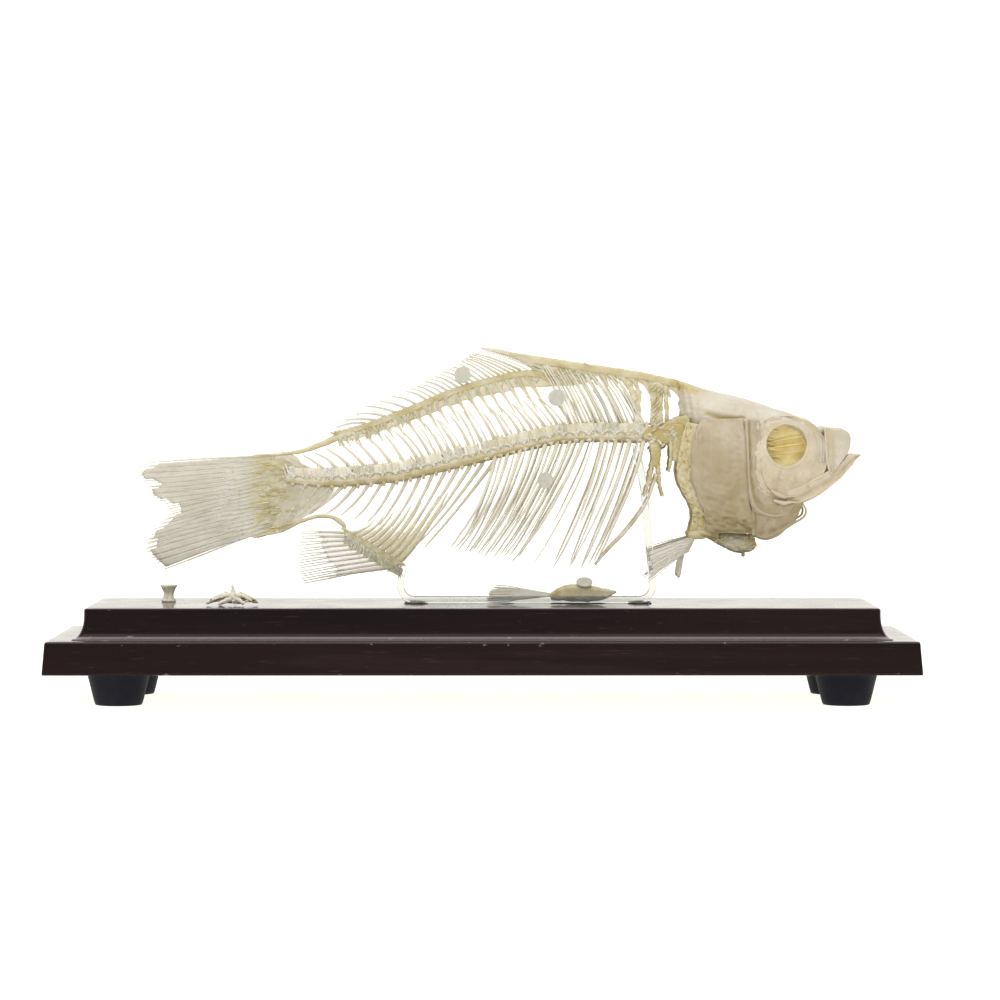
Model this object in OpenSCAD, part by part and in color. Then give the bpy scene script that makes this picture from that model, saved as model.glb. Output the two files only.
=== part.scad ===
// Mounted fish skeleton on a moulded plinth: a classroom and museum display.
// Head towards +X, the fish's right flank towards -Y, up is +Z.
// The origin is on the table, under the middle of the plinth.

/* [Plinth] */
// Length of the plinth's lower step
base_l = 350; // [330:1:400]
// Depth of the plinth's lower step
base_d = 120; // [110:1:140]
// Height of the lower step
step_h = 13.5; // [10:0.5:18]
// Width of the shelf and cove between the lower step and the raised top
cove_in = 14.5; // [12:0.5:18]
// Height of the raised top above the lower step
raise_h = 12.6; // [11:0.1:16]
// Extra length and depth at the bottom of the lower step, each side
draft = 1; // [0:0.1:2]

/* [Feet] */
// Height of a rubber foot
foot_h = 13.5; // [12:0.5:16]
// Diameter of a rubber foot where it meets the plinth
foot_top_d = 26; // [22:0.5:30]
// Diameter of a rubber foot at the table
foot_low_d = 19.2; // [18:0.2:21]
// Distance from the edges of the plinth to a foot's centre
foot_inset = 27.6; // [24:0.1:34]
// Diameter of a foot's screw
screw_d = 4; // [3:0.5:4.5]

/* [Clear stand] */
// Thickness of the bent clear strip
strip_t = 3; // [2:0.5:4]
// Width of the strip, front to back
strip_w = 8; // [6:0.5:12]
// Radius at the middle of the strip's two bends
bend_r = 6; // [5:0.5:8]

/* [Skeleton] */
// Length of one vertebra along the column
vertebra_pitch = 5.3; // [5:0.1:5.5]
// Radius of a vertebra's rims
vertebra_r = 2.8; // [2.2:0.1:3.2]
// Pairs of ribs in the rear group
rear_ribs = 8; // [6:1:8]
// Pairs of ribs in the front group
front_ribs = 4; // [3:1:4]
// Rays in the tail fin
tail_rays = 21; // [17:1:23]
// Diameter of a round number label
dot_d = 6.8; // [5:0.2:8]

/* [Hidden] */
$fn = 64;

bone = "#dcd8c4";
olive = "#c4b87a";
rubber = "#24242a";
steel = "#b9bcc0";

top_z = foot_h + step_h + raise_h;
top_l = base_l - 2 * cove_in;
top_d = base_d - 2 * cove_in;
lip_h = 3.2;
shelf_w = 10;
quirk_h = 0.5;
vertebra_gap = 0.3;

// Heights of the main lines of the fish at a place along its length.
function column_z(x) = lookup(x, [
    [-81, 91], [-67, 89.8], [-53, 90.4], [-34, 92.2], [-14, 97],
    [0, 100.3], [15, 104.2], [30, 107.6], [45, 108.6], [65, 108.2], [85, 109],
]);
function back_z(x) = lookup(x, [
    [-82, 100.6], [-66, 105], [-57, 108.5], [-46, 111.2], [-28, 118.2],
    [-14, 124.2], [0, 129], [15, 132.5], [29, 134.2], [45, 135.6],
    [60, 135], [72, 133], [85, 129.8],
]);
// Half of the head's width at a place along it, and at a height.
function head_w(x) = lookup(x, [
    [80, 16.5], [95, 18.5], [108, 17.6], [120, 14.4], [133, 10],
    [141, 7.4], [150, 5], [156, 2.4],
]);
function flank_y(x, z) = -head_w(x) * sqrt(1 - pow((z - 102) / 52, 2));

function unit(v) = v / norm(v);
function bend(a, b, c, n) = [
    for (i = [0:n]) let (t = i / n)
        (1 - t) * (1 - t) * a + 2 * t * (1 - t) * b + t * t * c
];
function straight(a, b, n) = [for (i = [0:n]) a + (b - a) * i / n];
function steps(a, b, n) = [for (i = [0:n]) a + (b - a) * i / n];

// A bone is a path with a half height and a half thickness at each point.
function ring(path, sizes, i, k) =
    let (
        last = len(path) - 1,
        along = unit(path[min(i + 1, last)] - path[max(i - 1, 0)]),
        up = unit(cross(along, [0, 1, 0])),
        out = cross(along, up)
    )
    [
        for (j = [0:k - 1])
            path[i] + sizes[i][0] * cos(360 * j / k) * up
                + sizes[i][1] * sin(360 * j / k) * out
    ];
function bone_points(path, sizes, k) = [
    for (i = [0:len(path) - 1]) each ring(path, sizes, i, k)
];
function bone_faces(n, k, first) = [
    [for (j = [0:k - 1]) first + j],
    [for (j = [k - 1:-1:0]) first + (n - 1) * k + j],
    for (i = [0:n - 2], j = [0:k - 1])
        let (a = first + i * k + j, b = first + i * k + (j + 1) % k)
            each [[a, a + k, b + k], [a, b + k, b]]
];
// Separate bones of one kind, each with the same number of path points.
module bones(set, k = 5) {
    n = len(set[0][0]);
    polyhedron(
        points = [for (b = set) each bone_points(b[0], b[1], k)],
        faces = [
            for (s = [0:len(set) - 1]) each bone_faces(n, k, s * n * k)
        ],
        convexity = 6
    );
}
function taper(r0, r1, n, flat = 1) = [
    for (r = steps(r0, r1, n)) [r, r * flat]
];

// A thin bone of the head that follows the flank and domes outwards.
module head_plate(outline, thick = 1.1, dome = 0.8) {
    n = len(outline);
    mid = [for (c = [0, 1]) [for (p = outline) p[c]] * [for (p = outline) 1 / n]];
    mid_y = flank_y(mid[0], mid[1]) - dome;
    polyhedron(
        points = [
            for (p = outline) [p[0], flank_y(p[0], p[1]), p[1]],
            for (p = outline) [p[0], flank_y(p[0], p[1]) + thick, p[1]],
            [mid[0], mid_y, mid[1]],
            [mid[0], mid_y + thick, mid[1]],
        ],
        faces = [
            for (i = [0:n - 1]) let (j = (i + 1) % n) each [
                [i, j, 2 * n], [n + j, n + i, 2 * n + 1],
                [i, n + i, n + j], [i, n + j, j],
            ],
        ],
        convexity = 4
    );
}
module other_side() {
    mirror([0, 1, 0]) children();
}

// Plinth: the side profile runs round all four sides with mitred corners.
function edge_profile(half) =
    let (
        lip = half - cove_in,
        foot = half - shelf_w,
        reach = foot - lip,
        low = foot_h + step_h + quirk_h,
        high = top_z - lip_h
    )
    [
        [0, foot_h],
        [half + draft, foot_h],
        [half, foot_h + step_h],
        [foot, foot_h + step_h],
        for (a = [90:-15:0])
            [foot - reach * cos(a), high - (high - low) * sin(a)],
        [lip, top_z],
        [0, top_z],
    ];
module edge_solid(half, length) {
    for (m = [0, 1]) mirror([m, 0, 0])
        rotate([90, 0, 0])
            linear_extrude(length, center = true)
                polygon(edge_profile(half));
}
module plinth_shape() {
    intersection() {
        edge_solid(base_l / 2, base_d + 20);
        rotate(90) edge_solid(base_d / 2, base_l + 20);
    }
}
module at_feet() {
    for (x = [-1, 1], y = [-1, 1])
        translate([x * (base_l / 2 - foot_inset), y * (base_d / 2 - foot_inset), 0])
            children();
}
module plinth_board() {
    color("#33272a")
    difference() {
        plinth_shape();
        at_feet() translate([0, 0, foot_h - 1]) cylinder(h = 13, d = screw_d);
    }
}

// Feet, each with a washer and a screw up into the plinth.
module foot_shape() {
    rotate_extrude()
        polygon([
            [screw_d / 2 + 0.3, 6.5],
            [5.2, 6.5],
            [5.2, 0],
            [foot_low_d / 2 - 1, 0],
            [foot_low_d / 2, 0.8],
            [foot_top_d / 2, foot_h - 0.6],
            [foot_top_d / 2 - 0.6, foot_h],
            [screw_d / 2 + 0.3, foot_h],
        ]);
}
module rubber_foot(x, y) {
    color(rubber)
        translate([x * (base_l / 2 - foot_inset), y * (base_d / 2 - foot_inset), 0])
            foot_shape();
}
module rubber_foot_front_left() {
    rubber_foot(-1, -1);
}
module rubber_foot_front_right() {
    rubber_foot(1, -1);
}
module rubber_foot_rear_left() {
    rubber_foot(-1, 1);
}
module rubber_foot_rear_right() {
    rubber_foot(1, 1);
}
module foot_washers() {
    color(steel)
    at_feet() translate([0, 0, 5.5])
        difference() {
            cylinder(h = 1, r = 4.8);
            translate([0, 0, -1]) cylinder(h = 3, r = screw_d / 2 + 0.3);
        }
}
module foot_screws() {
    color(steel)
    at_feet() {
        difference() {
            translate([0, 0, 3.1]) cylinder(h = 2.4, r1 = 3.2, r2 = 4);
            translate([-3, -0.5, 2.1]) cube([6, 1, 2.2]);
            translate([-0.5, -3, 2.1]) cube([1, 6, 2.2]);
        }
        translate([0, 0, 5.4]) cylinder(h = foot_h + 5.6, d = screw_d);
    }
}

// Clear stand: one strip, bent up at both ends, glued to the plinth.
function corner(x, z, from, to) = [
    for (i = [0:6]) let (a = from + (to - from) * i / 6)
        [x + bend_r * cos(a), z + bend_r * sin(a)]
];
stand_z = top_z + strip_t / 2;
stand_line = concat(
    [[-32.8, 55.4]],
    corner(-27.8, stand_z + bend_r, 180, 270),
    corner(64.2, stand_z + bend_r, 270, 360),
    [[69, 61], [67.6, 75], [66.4, 87], [64.8, 96], [63.6, 101], [63.2, 105]]
);
function stroke(line, w) =
    let (
        n = len(line) - 1,
        side = [
            for (i = [0:n])
                let (t = unit(line[min(i + 1, n)] - line[max(i - 1, 0)]))
                    [-t[1], t[0]] * w / 2
        ]
    )
    concat(
        [for (i = [0:n]) line[i] + side[i]],
        [for (i = [n:-1:0]) line[i] - side[i]]
    );
module clear_stand() {
    color("#dfe6e4", 0.5)
    rotate([90, 0, 0])
        linear_extrude(strip_w, center = true)
            polygon(stroke(stand_line, strip_t));
}
module stand_glue() {
    color("#6d6a5c")
    difference() {
        for (x = [-27.8, 64.2], y = [-1, 1])
            translate([x, y * (strip_w / 2 + 1.2), top_z])
                cylinder(h = 0.9, r1 = 2.4, r2 = 1.4, $fn = 24);
        translate([-60, -strip_w / 2, top_z - 1]) cube([160, strip_w, 5]);
    }
}

// Vertebrae, counted from the tail forwards.
first_x = -78;
tail_count = 15;
trunk_count = 13;
function vertebra_x(i) = first_x + i * vertebra_pitch;
function vertebra_at(i) = [vertebra_x(i), 0, column_z(vertebra_x(i))];
function centrum(i) =
    let (
        half = (vertebra_pitch - vertebra_gap) / 2,
        x = vertebra_x(i),
        a = [x - half, 0, column_z(x - half)],
        b = [x + half, 0, column_z(x + half)],
        r = vertebra_r * (i < 4 ? 0.8 + 0.05 * i : 1)
    )
    [straight(a, b, 2), [[r, r], [0.66 * r, 0.66 * r], [r, r]]];
module tail_vertebrae() {
    color(olive) bones([for (i = [0:tail_count - 1]) centrum(i)], 8);
}
module trunk_vertebrae() {
    color(olive)
    bones([for (i = [tail_count:tail_count + trunk_count - 1]) centrum(i)], 8);
}
neck_x = vertebra_x(tail_count + trunk_count) - vertebra_pitch / 2;
module neck_vertebrae() {
    z = column_z(neck_x + 6);
    color(olive)
    union() {
        bones([[
            straight([neck_x + 0.2, 0, z], [neck_x + 12, 0, z], 3),
            [[2.8, 2.8], [4.4, 3.4], [5.2, 3.8], [3, 3.4]],
        ]], 8);
        for (y = [-1, 1]) {
            hull() {
                translate([neck_x + 6, y * 4, z - 5]) sphere(2, $fn = 8);
                translate([neck_x + 2, y * 6, z - 14]) sphere(1, $fn = 8);
            }
            hull() {
                translate([neck_x + 2, y * 6, z - 14]) sphere(1, $fn = 8);
                translate([neck_x - 2, y * 7, z - 24]) sphere(0.6, $fn = 8);
            }
            hull() {
                translate([neck_x + 6, y * 4, z - 5]) sphere(2, $fn = 8);
                translate([neck_x + 5, y * 8, z - 25]) sphere(0.6, $fn = 8);
            }
        }
        hull() {
            translate([neck_x + 6, 0, z + 4]) cube([8, 1.4, 2], center = true);
            translate([neck_x + 3, 0, z + 16]) cube([5, 1, 2], center = true);
        }
    }
}

// Spines above the column lean back towards the tail, and so do those below.
function lean_up(x) = lookup(x, [
    [-78, 11], [-50, 12], [-35, 10.5], [0, 9], [30, 11], [60, 8], [75, 4],
]);
function gap_up(x) = lookup(x, [
    [-78, 2], [-50, 3], [-10, 7], [10, 10], [30, 9], [60, 6],
]);
function neural_spine(i) =
    let (
        a = vertebra_at(i) + [-0.5, 0, vertebra_r * 0.8],
        x = a[0] - lean_up(a[0]),
        tip = [x, 0, back_z(x) - gap_up(x)],
        mid = (a + tip) / 2 + [0.8, 0, 1.2]
    )
    [bend(a, mid, tip, 3), [[1.1, 1.2], [0.8, 0.7], [0.6, 0.5], [0.35, 0.3]]];
module neural_spines() {
    color(bone)
    bones([for (i = [1:tail_count + trunk_count - 1]) neural_spine(i)], 4);
}
function lean_down(x) = lookup(x, [
    [-78, 6], [-70, 11], [-60, 15], [-50, 12.5], [-40, 11], [-20, 13],
    [-9, 19], [7, 31],
]);
function belly_z(x) = lookup(x, [
    [-78, 73], [-70, 73.5], [-60, 76], [-50, 76], [-40, 73.5], [-30, 71],
    [-20, 70], [-9, 68], [7, 62.5],
]);
function haemal_spine(i) =
    let (
        a = vertebra_at(i) + [-0.5, 0, -vertebra_r * 0.8],
        tip = [a[0] - lean_down(a[0]), 0, belly_z(a[0])],
        mid = (a + tip) / 2 + [0.8, 0, -1.2]
    )
    [bend(a, mid, tip, 3), [[1, 1.2], [0.75, 0.7], [0.6, 0.5], [0.35, 0.3]]];
module haemal_spines() {
    color(bone)
    bones([for (i = [1:tail_count + 1]) haemal_spine(i)], 4);
}

// Ribs curve out round the belly and back towards the tail.
function rib(x, foot_x, foot_z, wide) =
    let (
        a = [x, -vertebra_r - 0.5, column_z(x) - 1.2],
        c = [foot_x, -wide * 0.72, foot_z],
        b = [x - (x - foot_x) * 0.28, -wide * 1.25, column_z(x) - 24]
    )
    [
        bend(a, b, c, 7),
        [
            [1.2, 0.8], [0.95, 0.7], [0.8, 0.65], [0.75, 0.6],
            [0.7, 0.55], [0.6, 0.5], [0.5, 0.4], [0.3, 0.25],
        ],
    ];
module rib_set(shift) {
    rear = [
        for (i = [0:rear_ribs - 1]) let (t = i / 7)
            rib(5.5 + 36 * t, -13.5 + 25 * t + shift, 62.5 - 5.5 * t, 13 + 5 * t)
    ];
    front = [
        for (i = [0:front_ribs - 1]) let (t = i / 3)
            rib(49.5 + 17 * t, 29.5 + 16 * t + shift / 2, 55.6, 19)
    ];
    color(bone) bones(concat(rear, front), 5);
}
module ribs_right() {
    rib_set(0);
}
module ribs_left() {
    other_side() rib_set(2.4);
}

// Back: nape bones, fin supports, the leading spine and the fin rays.
function nape_z(x) = lookup(x, [
    [22, 141.6], [36, 139.4], [46, 137.9], [65, 135], [85, 130.6],
]);
module nape_bones() {
    color(olive)
    union() {
        for (i = [0:5]) let (x = 35 + 6.4 * i)
            hull() {
                translate([x, 0, nape_z(x) - 2.6]) cube([4.6, 1.8, 1.6], center = true);
                translate([x + 3.4, 0, nape_z(x) - 13]) cube([1.4, 0.8, 1], center = true);
            }
        for (i = [0:6]) let (x = 22.6 + 9 * i, z = nape_z(x), next = nape_z(x + 9))
            hull() {
                translate([x, 0, z - 1.4]) cube([1, 2.2, 2.8], center = true);
                translate([x + 9, 0, next - 1.4]) cube([1, 2.2, 2.8], center = true);
            }
    }
}
support_count = 19;
function support_x(i) = 19 - 4.2 * i;
module back_fin_supports() {
    color(olive)
    bones([
        for (i = [0:support_count - 1])
            let (
                x = support_x(i),
                deep = lookup(x, [[-57, 4.5], [-30, 7.5], [0, 12], [19, 16]]),
                a = [x - 1.6, 0, back_z(x) + 1.2],
                c = [x + 0.55 * deep, 0, back_z(x) - deep],
                b = [x + 0.6, 0, back_z(x) - 1.5]
            )
            [bend(a, b, c, 3), [[1.9, 1.6], [1.7, 1.2], [0.7, 0.6], [0.3, 0.3]]]
    ], 6);
}
module back_fin_spine() {
    color(olive)
    bones([[
        bend([21.5, 0, 137.4], [12, 0, 143.4], [-1, 0, 144.6], 5),
        [[1.4, 1.8], [1.3, 1.6], [1.1, 1.3], [1, 1], [0.8, 0.8], [0.4, 0.4]],
    ]], 6);
}
ray_count = 16;
function ray_tip(t) = [
    lookup(t, [[0, -4.5], [0.2, -9], [0.4, -20], [0.6, -32], [0.8, -48], [1, -61]]),
    0,
    lookup(t, [[0, 142.8], [0.2, 139.4], [0.4, 133], [0.6, 127], [0.8, 120.4], [1, 112]]),
];
module back_fin_rays() {
    color(bone)
    bones([
        for (i = [0:ray_count - 1])
            let (
                t = i / (ray_count - 1),
                x = 15 - 64 * t,
                a = [x, 0, back_z(x) + 3.4],
                c = ray_tip(t),
                b = (a + c) / 2 + [0, 0, 1.4]
            )
            [bend(a, b, c, 3), taper(0.75, 0.3, 3, 1.2)]
    ], 4);
}

// Vent fin: supports rise between the haemal spines, rays run to the rear.
module vent_fin_supports() {
    color(olive)
    bones([
        for (i = [0:8])
            let (
                t = i / 8,
                a = [-35 - 20 * t, 0, 56.2 + 12 * t],
                c = [-14 - 30 * t, 0, 86 - 11.5 * t],
                b = (a + c) / 2 + [2, 0, -2],
                r = 2.1 - 1.1 * t
            )
            [
                bend(a, b, c, 4),
                [[r, 1.8], [r, 1.3], [0.7 * r, 0.9], [0.5 * r, 0.6], [0.3, 0.3]],
            ]
    ], 6);
}
vent_rays = 10;
module vent_fin_rays() {
    color(bone)
    bones([
        for (i = [0:vent_rays - 1])
            let (
                t = i / (vent_rays - 1),
                a = [-37.5 - 20 * t, 0, 54.6 + 14 * t],
                c = [-74.5 - 1.5 * sin(180 * t), 0, 48.4 + 20.6 * pow(t, 1.15)],
                b = (a + c) / 2 + [0, 0, 0.6]
            )
            [bend(a, b, c, 3), taper(i == 0 ? 1.3 : 0.75, 0.3, 3, 1.2)]
    ], 4);
}

// Tail: a fan of flat bones carries the fin rays.
module tail_plate() {
    color(olive)
    bones([
        for (i = [0:6])
            let (
                t = i / 6,
                a = [-81.4, 0, 84 + 11 * t],
                c = [-92.4 + 3 * pow(2 * t - 1, 2), 0, 70.2 + 28.6 * t],
                b = (a + c) / 2
            )
            [bend(a, b, c, 2), [[0.7, 1.3], [1.5, 1.2], [2.1, 0.8]]]
    ], 6);
}
function tail_end_x(z) = lookup(z, [
    [55, -127.5], [58, -132], [62, -135.8], [66, -134.8], [70, -132.3],
    [74, -128], [75.5, -126], [79.5, -126], [83, -131], [86, -135.5],
    [89, -132.4], [90.5, -137], [93, -139], [97, -134.4], [98, -133],
]);
module tail_fin_rays() {
    color(bone)
    bones([
        for (i = [0:tail_rays - 1])
            let (
                t = i / (tail_rays - 1),
                end_z = 55.6 + 41.6 * t,
                c = [tail_end_x(end_z), 0, end_z],
                a = [-94.6 + 3 * pow(2 * t - 1, 2), 0, 68.6 + 31.6 * t],
                b = [-110, 0, a[2] * 0.55 + c[2] * 0.45 + 1.5 * sin(360 * t)]
            )
            [bend(a, b, c, 4), [[0.7, 1.1], [0.85, 0.9], [0.9, 0.7], [0.8, 0.5], [0.4, 0.3]]]
    ], 4);
}

// Head.
module braincase() {
    color(bone)
    union() {
        bones([[
            [[84, 0, 114.6], [90, 0, 114.4], [99, 0, 113.2], [108, 0, 112],
             [116, 0, 111.4]],
            [[6, 4], [10, 9.4], [11, 12.6], [9.4, 12.6], [7.4, 10]],
        ]], 12);
        hull() {
            translate([80, -0.7, 124]) cube([2, 1.4, 5]);
            translate([100, -0.7, 115]) cube([2, 1.4, 8.6]);
            translate([86, -0.7, 116]) cube([2, 1.4, 12.6]);
        }
        bones([[
            [[114.5, 0, 117.2], [120, 0, 116.2], [127, 0, 114], [134, 0, 111.6]],
            [[2.8, 10], [2, 9.4], [1.9, 8.2], [2.2, 6]],
        ]], 10);
        hull() {
            translate([112, -1, 98]) cube([4, 2, 10]);
            translate([132, -1, 97]) cube([4, 2, 14]);
        }
    }
}
module snout_bone() {
    color(bone)
    bones([[
        [[136.2, 0, 105.6], [138.4, 0, 105], [140.6, 0, 104.4]],
        [[6, 6.4], [6.8, 6], [6.4, 5]],
    ]], 10);
}
orbit = [124.5, 105];
orbit_r = 8.4;
// The cheek is a plate with a round rim where it goes round the eye socket.
module cheek_shape() {
    outline = [
        for (a = [0:22.5:337.5])
            let (
                reach = lookup(a, [
                    [0, 15.6], [45, 11], [90, 10.6], [135, 12.4], [180, 14],
                    [225, 19.5], [247.5, 21.4], [270, 19.4], [315, 18.6],
                    [337.5, 17], [360, 15.6],
                ])
            )
            orbit + reach * [cos(a), sin(a)]
    ];
    n = len(outline);
    rim = [for (p = outline) orbit + orbit_r * unit(p - orbit)];
    color(bone)
    polyhedron(
        points = [
            for (p = outline) [p[0], flank_y(p[0], p[1]), p[1]],
            for (p = rim) [p[0], flank_y(p[0], p[1]) - 0.9, p[1]],
            for (p = rim) [p[0], flank_y(p[0], p[1]) + 0.9, p[1]],
            for (p = outline) [p[0], flank_y(p[0], p[1]) + 1, p[1]],
        ],
        faces = [
            for (s = [0:3], i = [0:n - 1])
                let (
                    j = (i + 1) % n,
                    a = s * n,
                    b = (s + 1) % 4 * n
                )
                each [[a + i, b + i, b + j], [a + i, b + j, a + j]],
        ],
        convexity = 6
    );
}
module cheek_bones_right() {
    cheek_shape();
}
module cheek_bones_left() {
    other_side() cheek_shape();
}
module upper_jaw_shape() {
    color(bone)
    head_plate([
        [141.4, 110.6], [142.4, 100], [146, 95.6], [149.6, 97.6], [150.2, 104.4],
        [150.8, 108.6], [147.6, 111.2],
    ], 2.2, 0.6);
}
module upper_jaw_right() {
    upper_jaw_shape();
}
module upper_jaw_left() {
    other_side() upper_jaw_shape();
}
function jaw_point(t) =
    let (p = bend([155.4, 100.6], [147, 91], [126.5, 82.4], 8)[t])
    [p[0], flank_y(p[0], p[1]) + 1.2, p[1]];
module lower_jaw_shape() {
    color(bone)
    bones([[
        [for (t = [0:2:8]) jaw_point(t)],
        [[0.5, 0.5], [2.2, 0.8], [3, 0.9], [3.2, 0.9], [1.6, 0.8]],
    ]], 6);
}
module lower_jaw_right() {
    lower_jaw_shape();
}
module lower_jaw_left() {
    other_side() lower_jaw_shape();
}
module gill_cover_shape() {
    color(bone)
    head_plate([
        [105.6, 113.2], [106.6, 99], [107.2, 84], [106.6, 74.6], [98, 75.4],
        [90.6, 79], [87.4, 88], [85.6, 98], [86.6, 108], [92, 113],
    ], 1.2, 1.4);
}
module gill_cover_right() {
    gill_cover_shape();
}
module gill_cover_left() {
    other_side() gill_cover_shape();
}
module gill_ridge_shape() {
    line = bend([107.8, 112.6], [107.4, 74], [125.6, 78.4], 8);
    color(bone)
    bones([[
        [for (p = line) [p[0], flank_y(p[0], p[1]) - 0.4, p[1]]],
        [for (t = [0:8]) [0.8 + 1.6 * sin(22.5 * t), 0.8]],
    ]], 6);
}
module gill_cover_ridge_right() {
    gill_ridge_shape();
}
module gill_cover_ridge_left() {
    other_side() gill_ridge_shape();
}
module lower_gill_shape() {
    line = bend([90.6, 74.6], [104, 66.4], [125, 76], 6);
    color(bone)
    bones([[
        [for (p = line) [p[0], flank_y(p[0], p[1]) + 0.8, p[1]]],
        [[0.8, 0.5], [2.2, 0.6], [3, 0.6], [3.4, 0.6], [3.2, 0.6], [2.2, 0.6],
         [0.8, 0.5]],
    ]], 6);
}
module lower_gill_cover_right() {
    lower_gill_shape();
}
module lower_gill_cover_left() {
    other_side() lower_gill_shape();
}
module throat_bones() {
    color(bone)
    bones([
        for (y = [-1, 1], i = [0:2])
            let (x = 95 + 3 * i)
            [
                bend(
                    [x, y * (3 + 2.2 * i), 66.4 - 0.6 * i],
                    [x + 7, y * (3.4 + 2.2 * i), 60.6],
                    [x + 11, y * (2.2 + 1.6 * i), 66.6], 4
                ),
                [[0.8, 0.5], [1.3, 0.5], [1.5, 0.5], [1.2, 0.5], [0.6, 0.4]],
            ]
    ], 6);
}
module shoulder_shape() {
    color(olive)
    bones([[
        [[84.2, -14, 112], [81.6, -15.6, 100], [81.6, -15.8, 92],
         [84, -15, 83], [87, -13, 75], [86.6, -9, 69.6], [92, -4, 67.6]],
        [[1.2, 0.8], [2.2, 1.2], [1.8, 1.2], [2.4, 1.2], [2.8, 1.4], [2.4, 1.6],
         [1, 1]],
    ]], 6);
}
module shoulder_blade_right() {
    shoulder_shape();
}
module shoulder_blade_left() {
    other_side() shoulder_shape();
}
module front_fin_shape() {
    color(bone)
    bones([
        for (i = [0:7])
            let (
                t = i / 7,
                a = [87.4 - 2.6 * t, -12.2 - t, 67.4 - 5.4 * t],
                c = [66.2 + 2.4 * sin(180 * t), -16 - 2.4 * t, 60.6 - 11.6 * t],
                b = (a + c) / 2 + [0, -0.8, 0.8]
            )
            [bend(a, b, c, 3), taper(0.55, 0.26, 3, 1.3)]
    ], 4);
}
module front_fin_right() {
    front_fin_shape();
}
module front_fin_left() {
    other_side() front_fin_shape();
}

// Loose bones, glued to the top of the plinth.
module loose_vertebra() {
    color(bone)
    translate([-130.2, 12, top_z])
        rotate_extrude($fn = 32)
            polygon([
                [0, 0], [2.6, 0], [2.8, 0.6], [1.4, 3], [1.5, 4.2], [3.4, 6.6],
                [3.2, 7.2], [0, 5.4],
            ]);
}
module loose_neck_bone() {
    hub = [-102, -18, top_z + 3];
    color(bone)
    union() {
        translate(hub) rotate([90, 0, 0])
            cylinder(h = 5, r1 = 3, r2 = 2.6, center = true, $fn = 20);
        hull() {
            translate(hub) sphere(2, $fn = 10);
            translate(hub + [0, 0, 5]) sphere(0.4, $fn = 6);
        }
        for (s = [[-10.4, -1], [9, 2]])
            hull() {
                translate(hub) sphere(1.7, $fn = 10);
                translate(hub + [s[0], s[1], -2.4]) sphere(0.6, $fn = 6);
            }
        for (s = [[-6, 6], [5, -6]])
            hull() {
                translate(hub) sphere(1.5, $fn = 10);
                translate(hub + [s[0], s[1], -2.2]) sphere(0.8, $fn = 6);
            }
    }
}
module loose_hip_bone() {
    color(olive)
    bones([[
        [[28, 2, 41.6], [33, 2, 43.4], [40, 2, 43.8], [48, 2, 43.2],
         [55.2, 2, 44.4]],
        [[1.2, 2], [3, 3.4], [3.6, 3], [2.8, 2.2], [0.5, 0.6]],
    ]], 8);
}
module loose_hip_fin() {
    color(bone)
    bones([
        for (i = [0:8])
            let (
                t = i / 8,
                a = [26.8, 2 + 2.4 * (t - 0.5), 42.4 + 1.2 * t],
                c = [1.6 + 3 * pow(t, 2), 2 + 9 * (t - 0.5), 40.6 + 5.4 * t],
                b = [14, 2 + 5 * (t - 0.5), 40.9 + 5.2 * t]
            )
            [bend(a, b, c, 3), taper(0.3, 0.5, 3, 0.7)]
    ], 4);
}

// Round number labels, one on each group of bones.
module dot(place, tilt) {
    translate(place) rotate(tilt) cylinder(h = 0.4, d = dot_d, center = true, $fn = 40);
}
module label_dots() {
    color("#bebcaf")
    union() {
        dot([-8.2, -1.6, 133.6], [90, 0, 0]);
        dot([30.4, -2.6, 124.3], [90, 0, 0]);
        dot([25.7, -18.6, 90.6], [90, 0, -28]);
        dot([42, 0.6, 48.2], [32, 0, 0]);
    }
}

plinth_board();
rubber_foot_front_left();
rubber_foot_front_right();
rubber_foot_rear_left();
rubber_foot_rear_right();
foot_washers();
foot_screws();
clear_stand();
stand_glue();
braincase();
snout_bone();
cheek_bones_right();
cheek_bones_left();
upper_jaw_right();
upper_jaw_left();
lower_jaw_right();
lower_jaw_left();
gill_cover_right();
gill_cover_left();
gill_cover_ridge_right();
gill_cover_ridge_left();
lower_gill_cover_right();
lower_gill_cover_left();
throat_bones();
shoulder_blade_right();
shoulder_blade_left();
front_fin_right();
front_fin_left();
neck_vertebrae();
trunk_vertebrae();
tail_vertebrae();
neural_spines();
haemal_spines();
ribs_right();
ribs_left();
nape_bones();
back_fin_supports();
back_fin_spine();
back_fin_rays();
vent_fin_supports();
vent_fin_rays();
tail_plate();
tail_fin_rays();
loose_vertebra();
loose_neck_bone();
loose_hip_bone();
loose_hip_fin();
label_dots();
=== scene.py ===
"""Mounted fish skeleton: the looks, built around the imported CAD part.

Bones follow the centre lines and sizes of the CAD solids, which are read from
the frame. Shapes are worked out in millimetres and stored in metres.
"""

import math
import random

import bmesh
import bpy
import numpy as np
from mathutils import Euler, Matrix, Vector, noise


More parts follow.
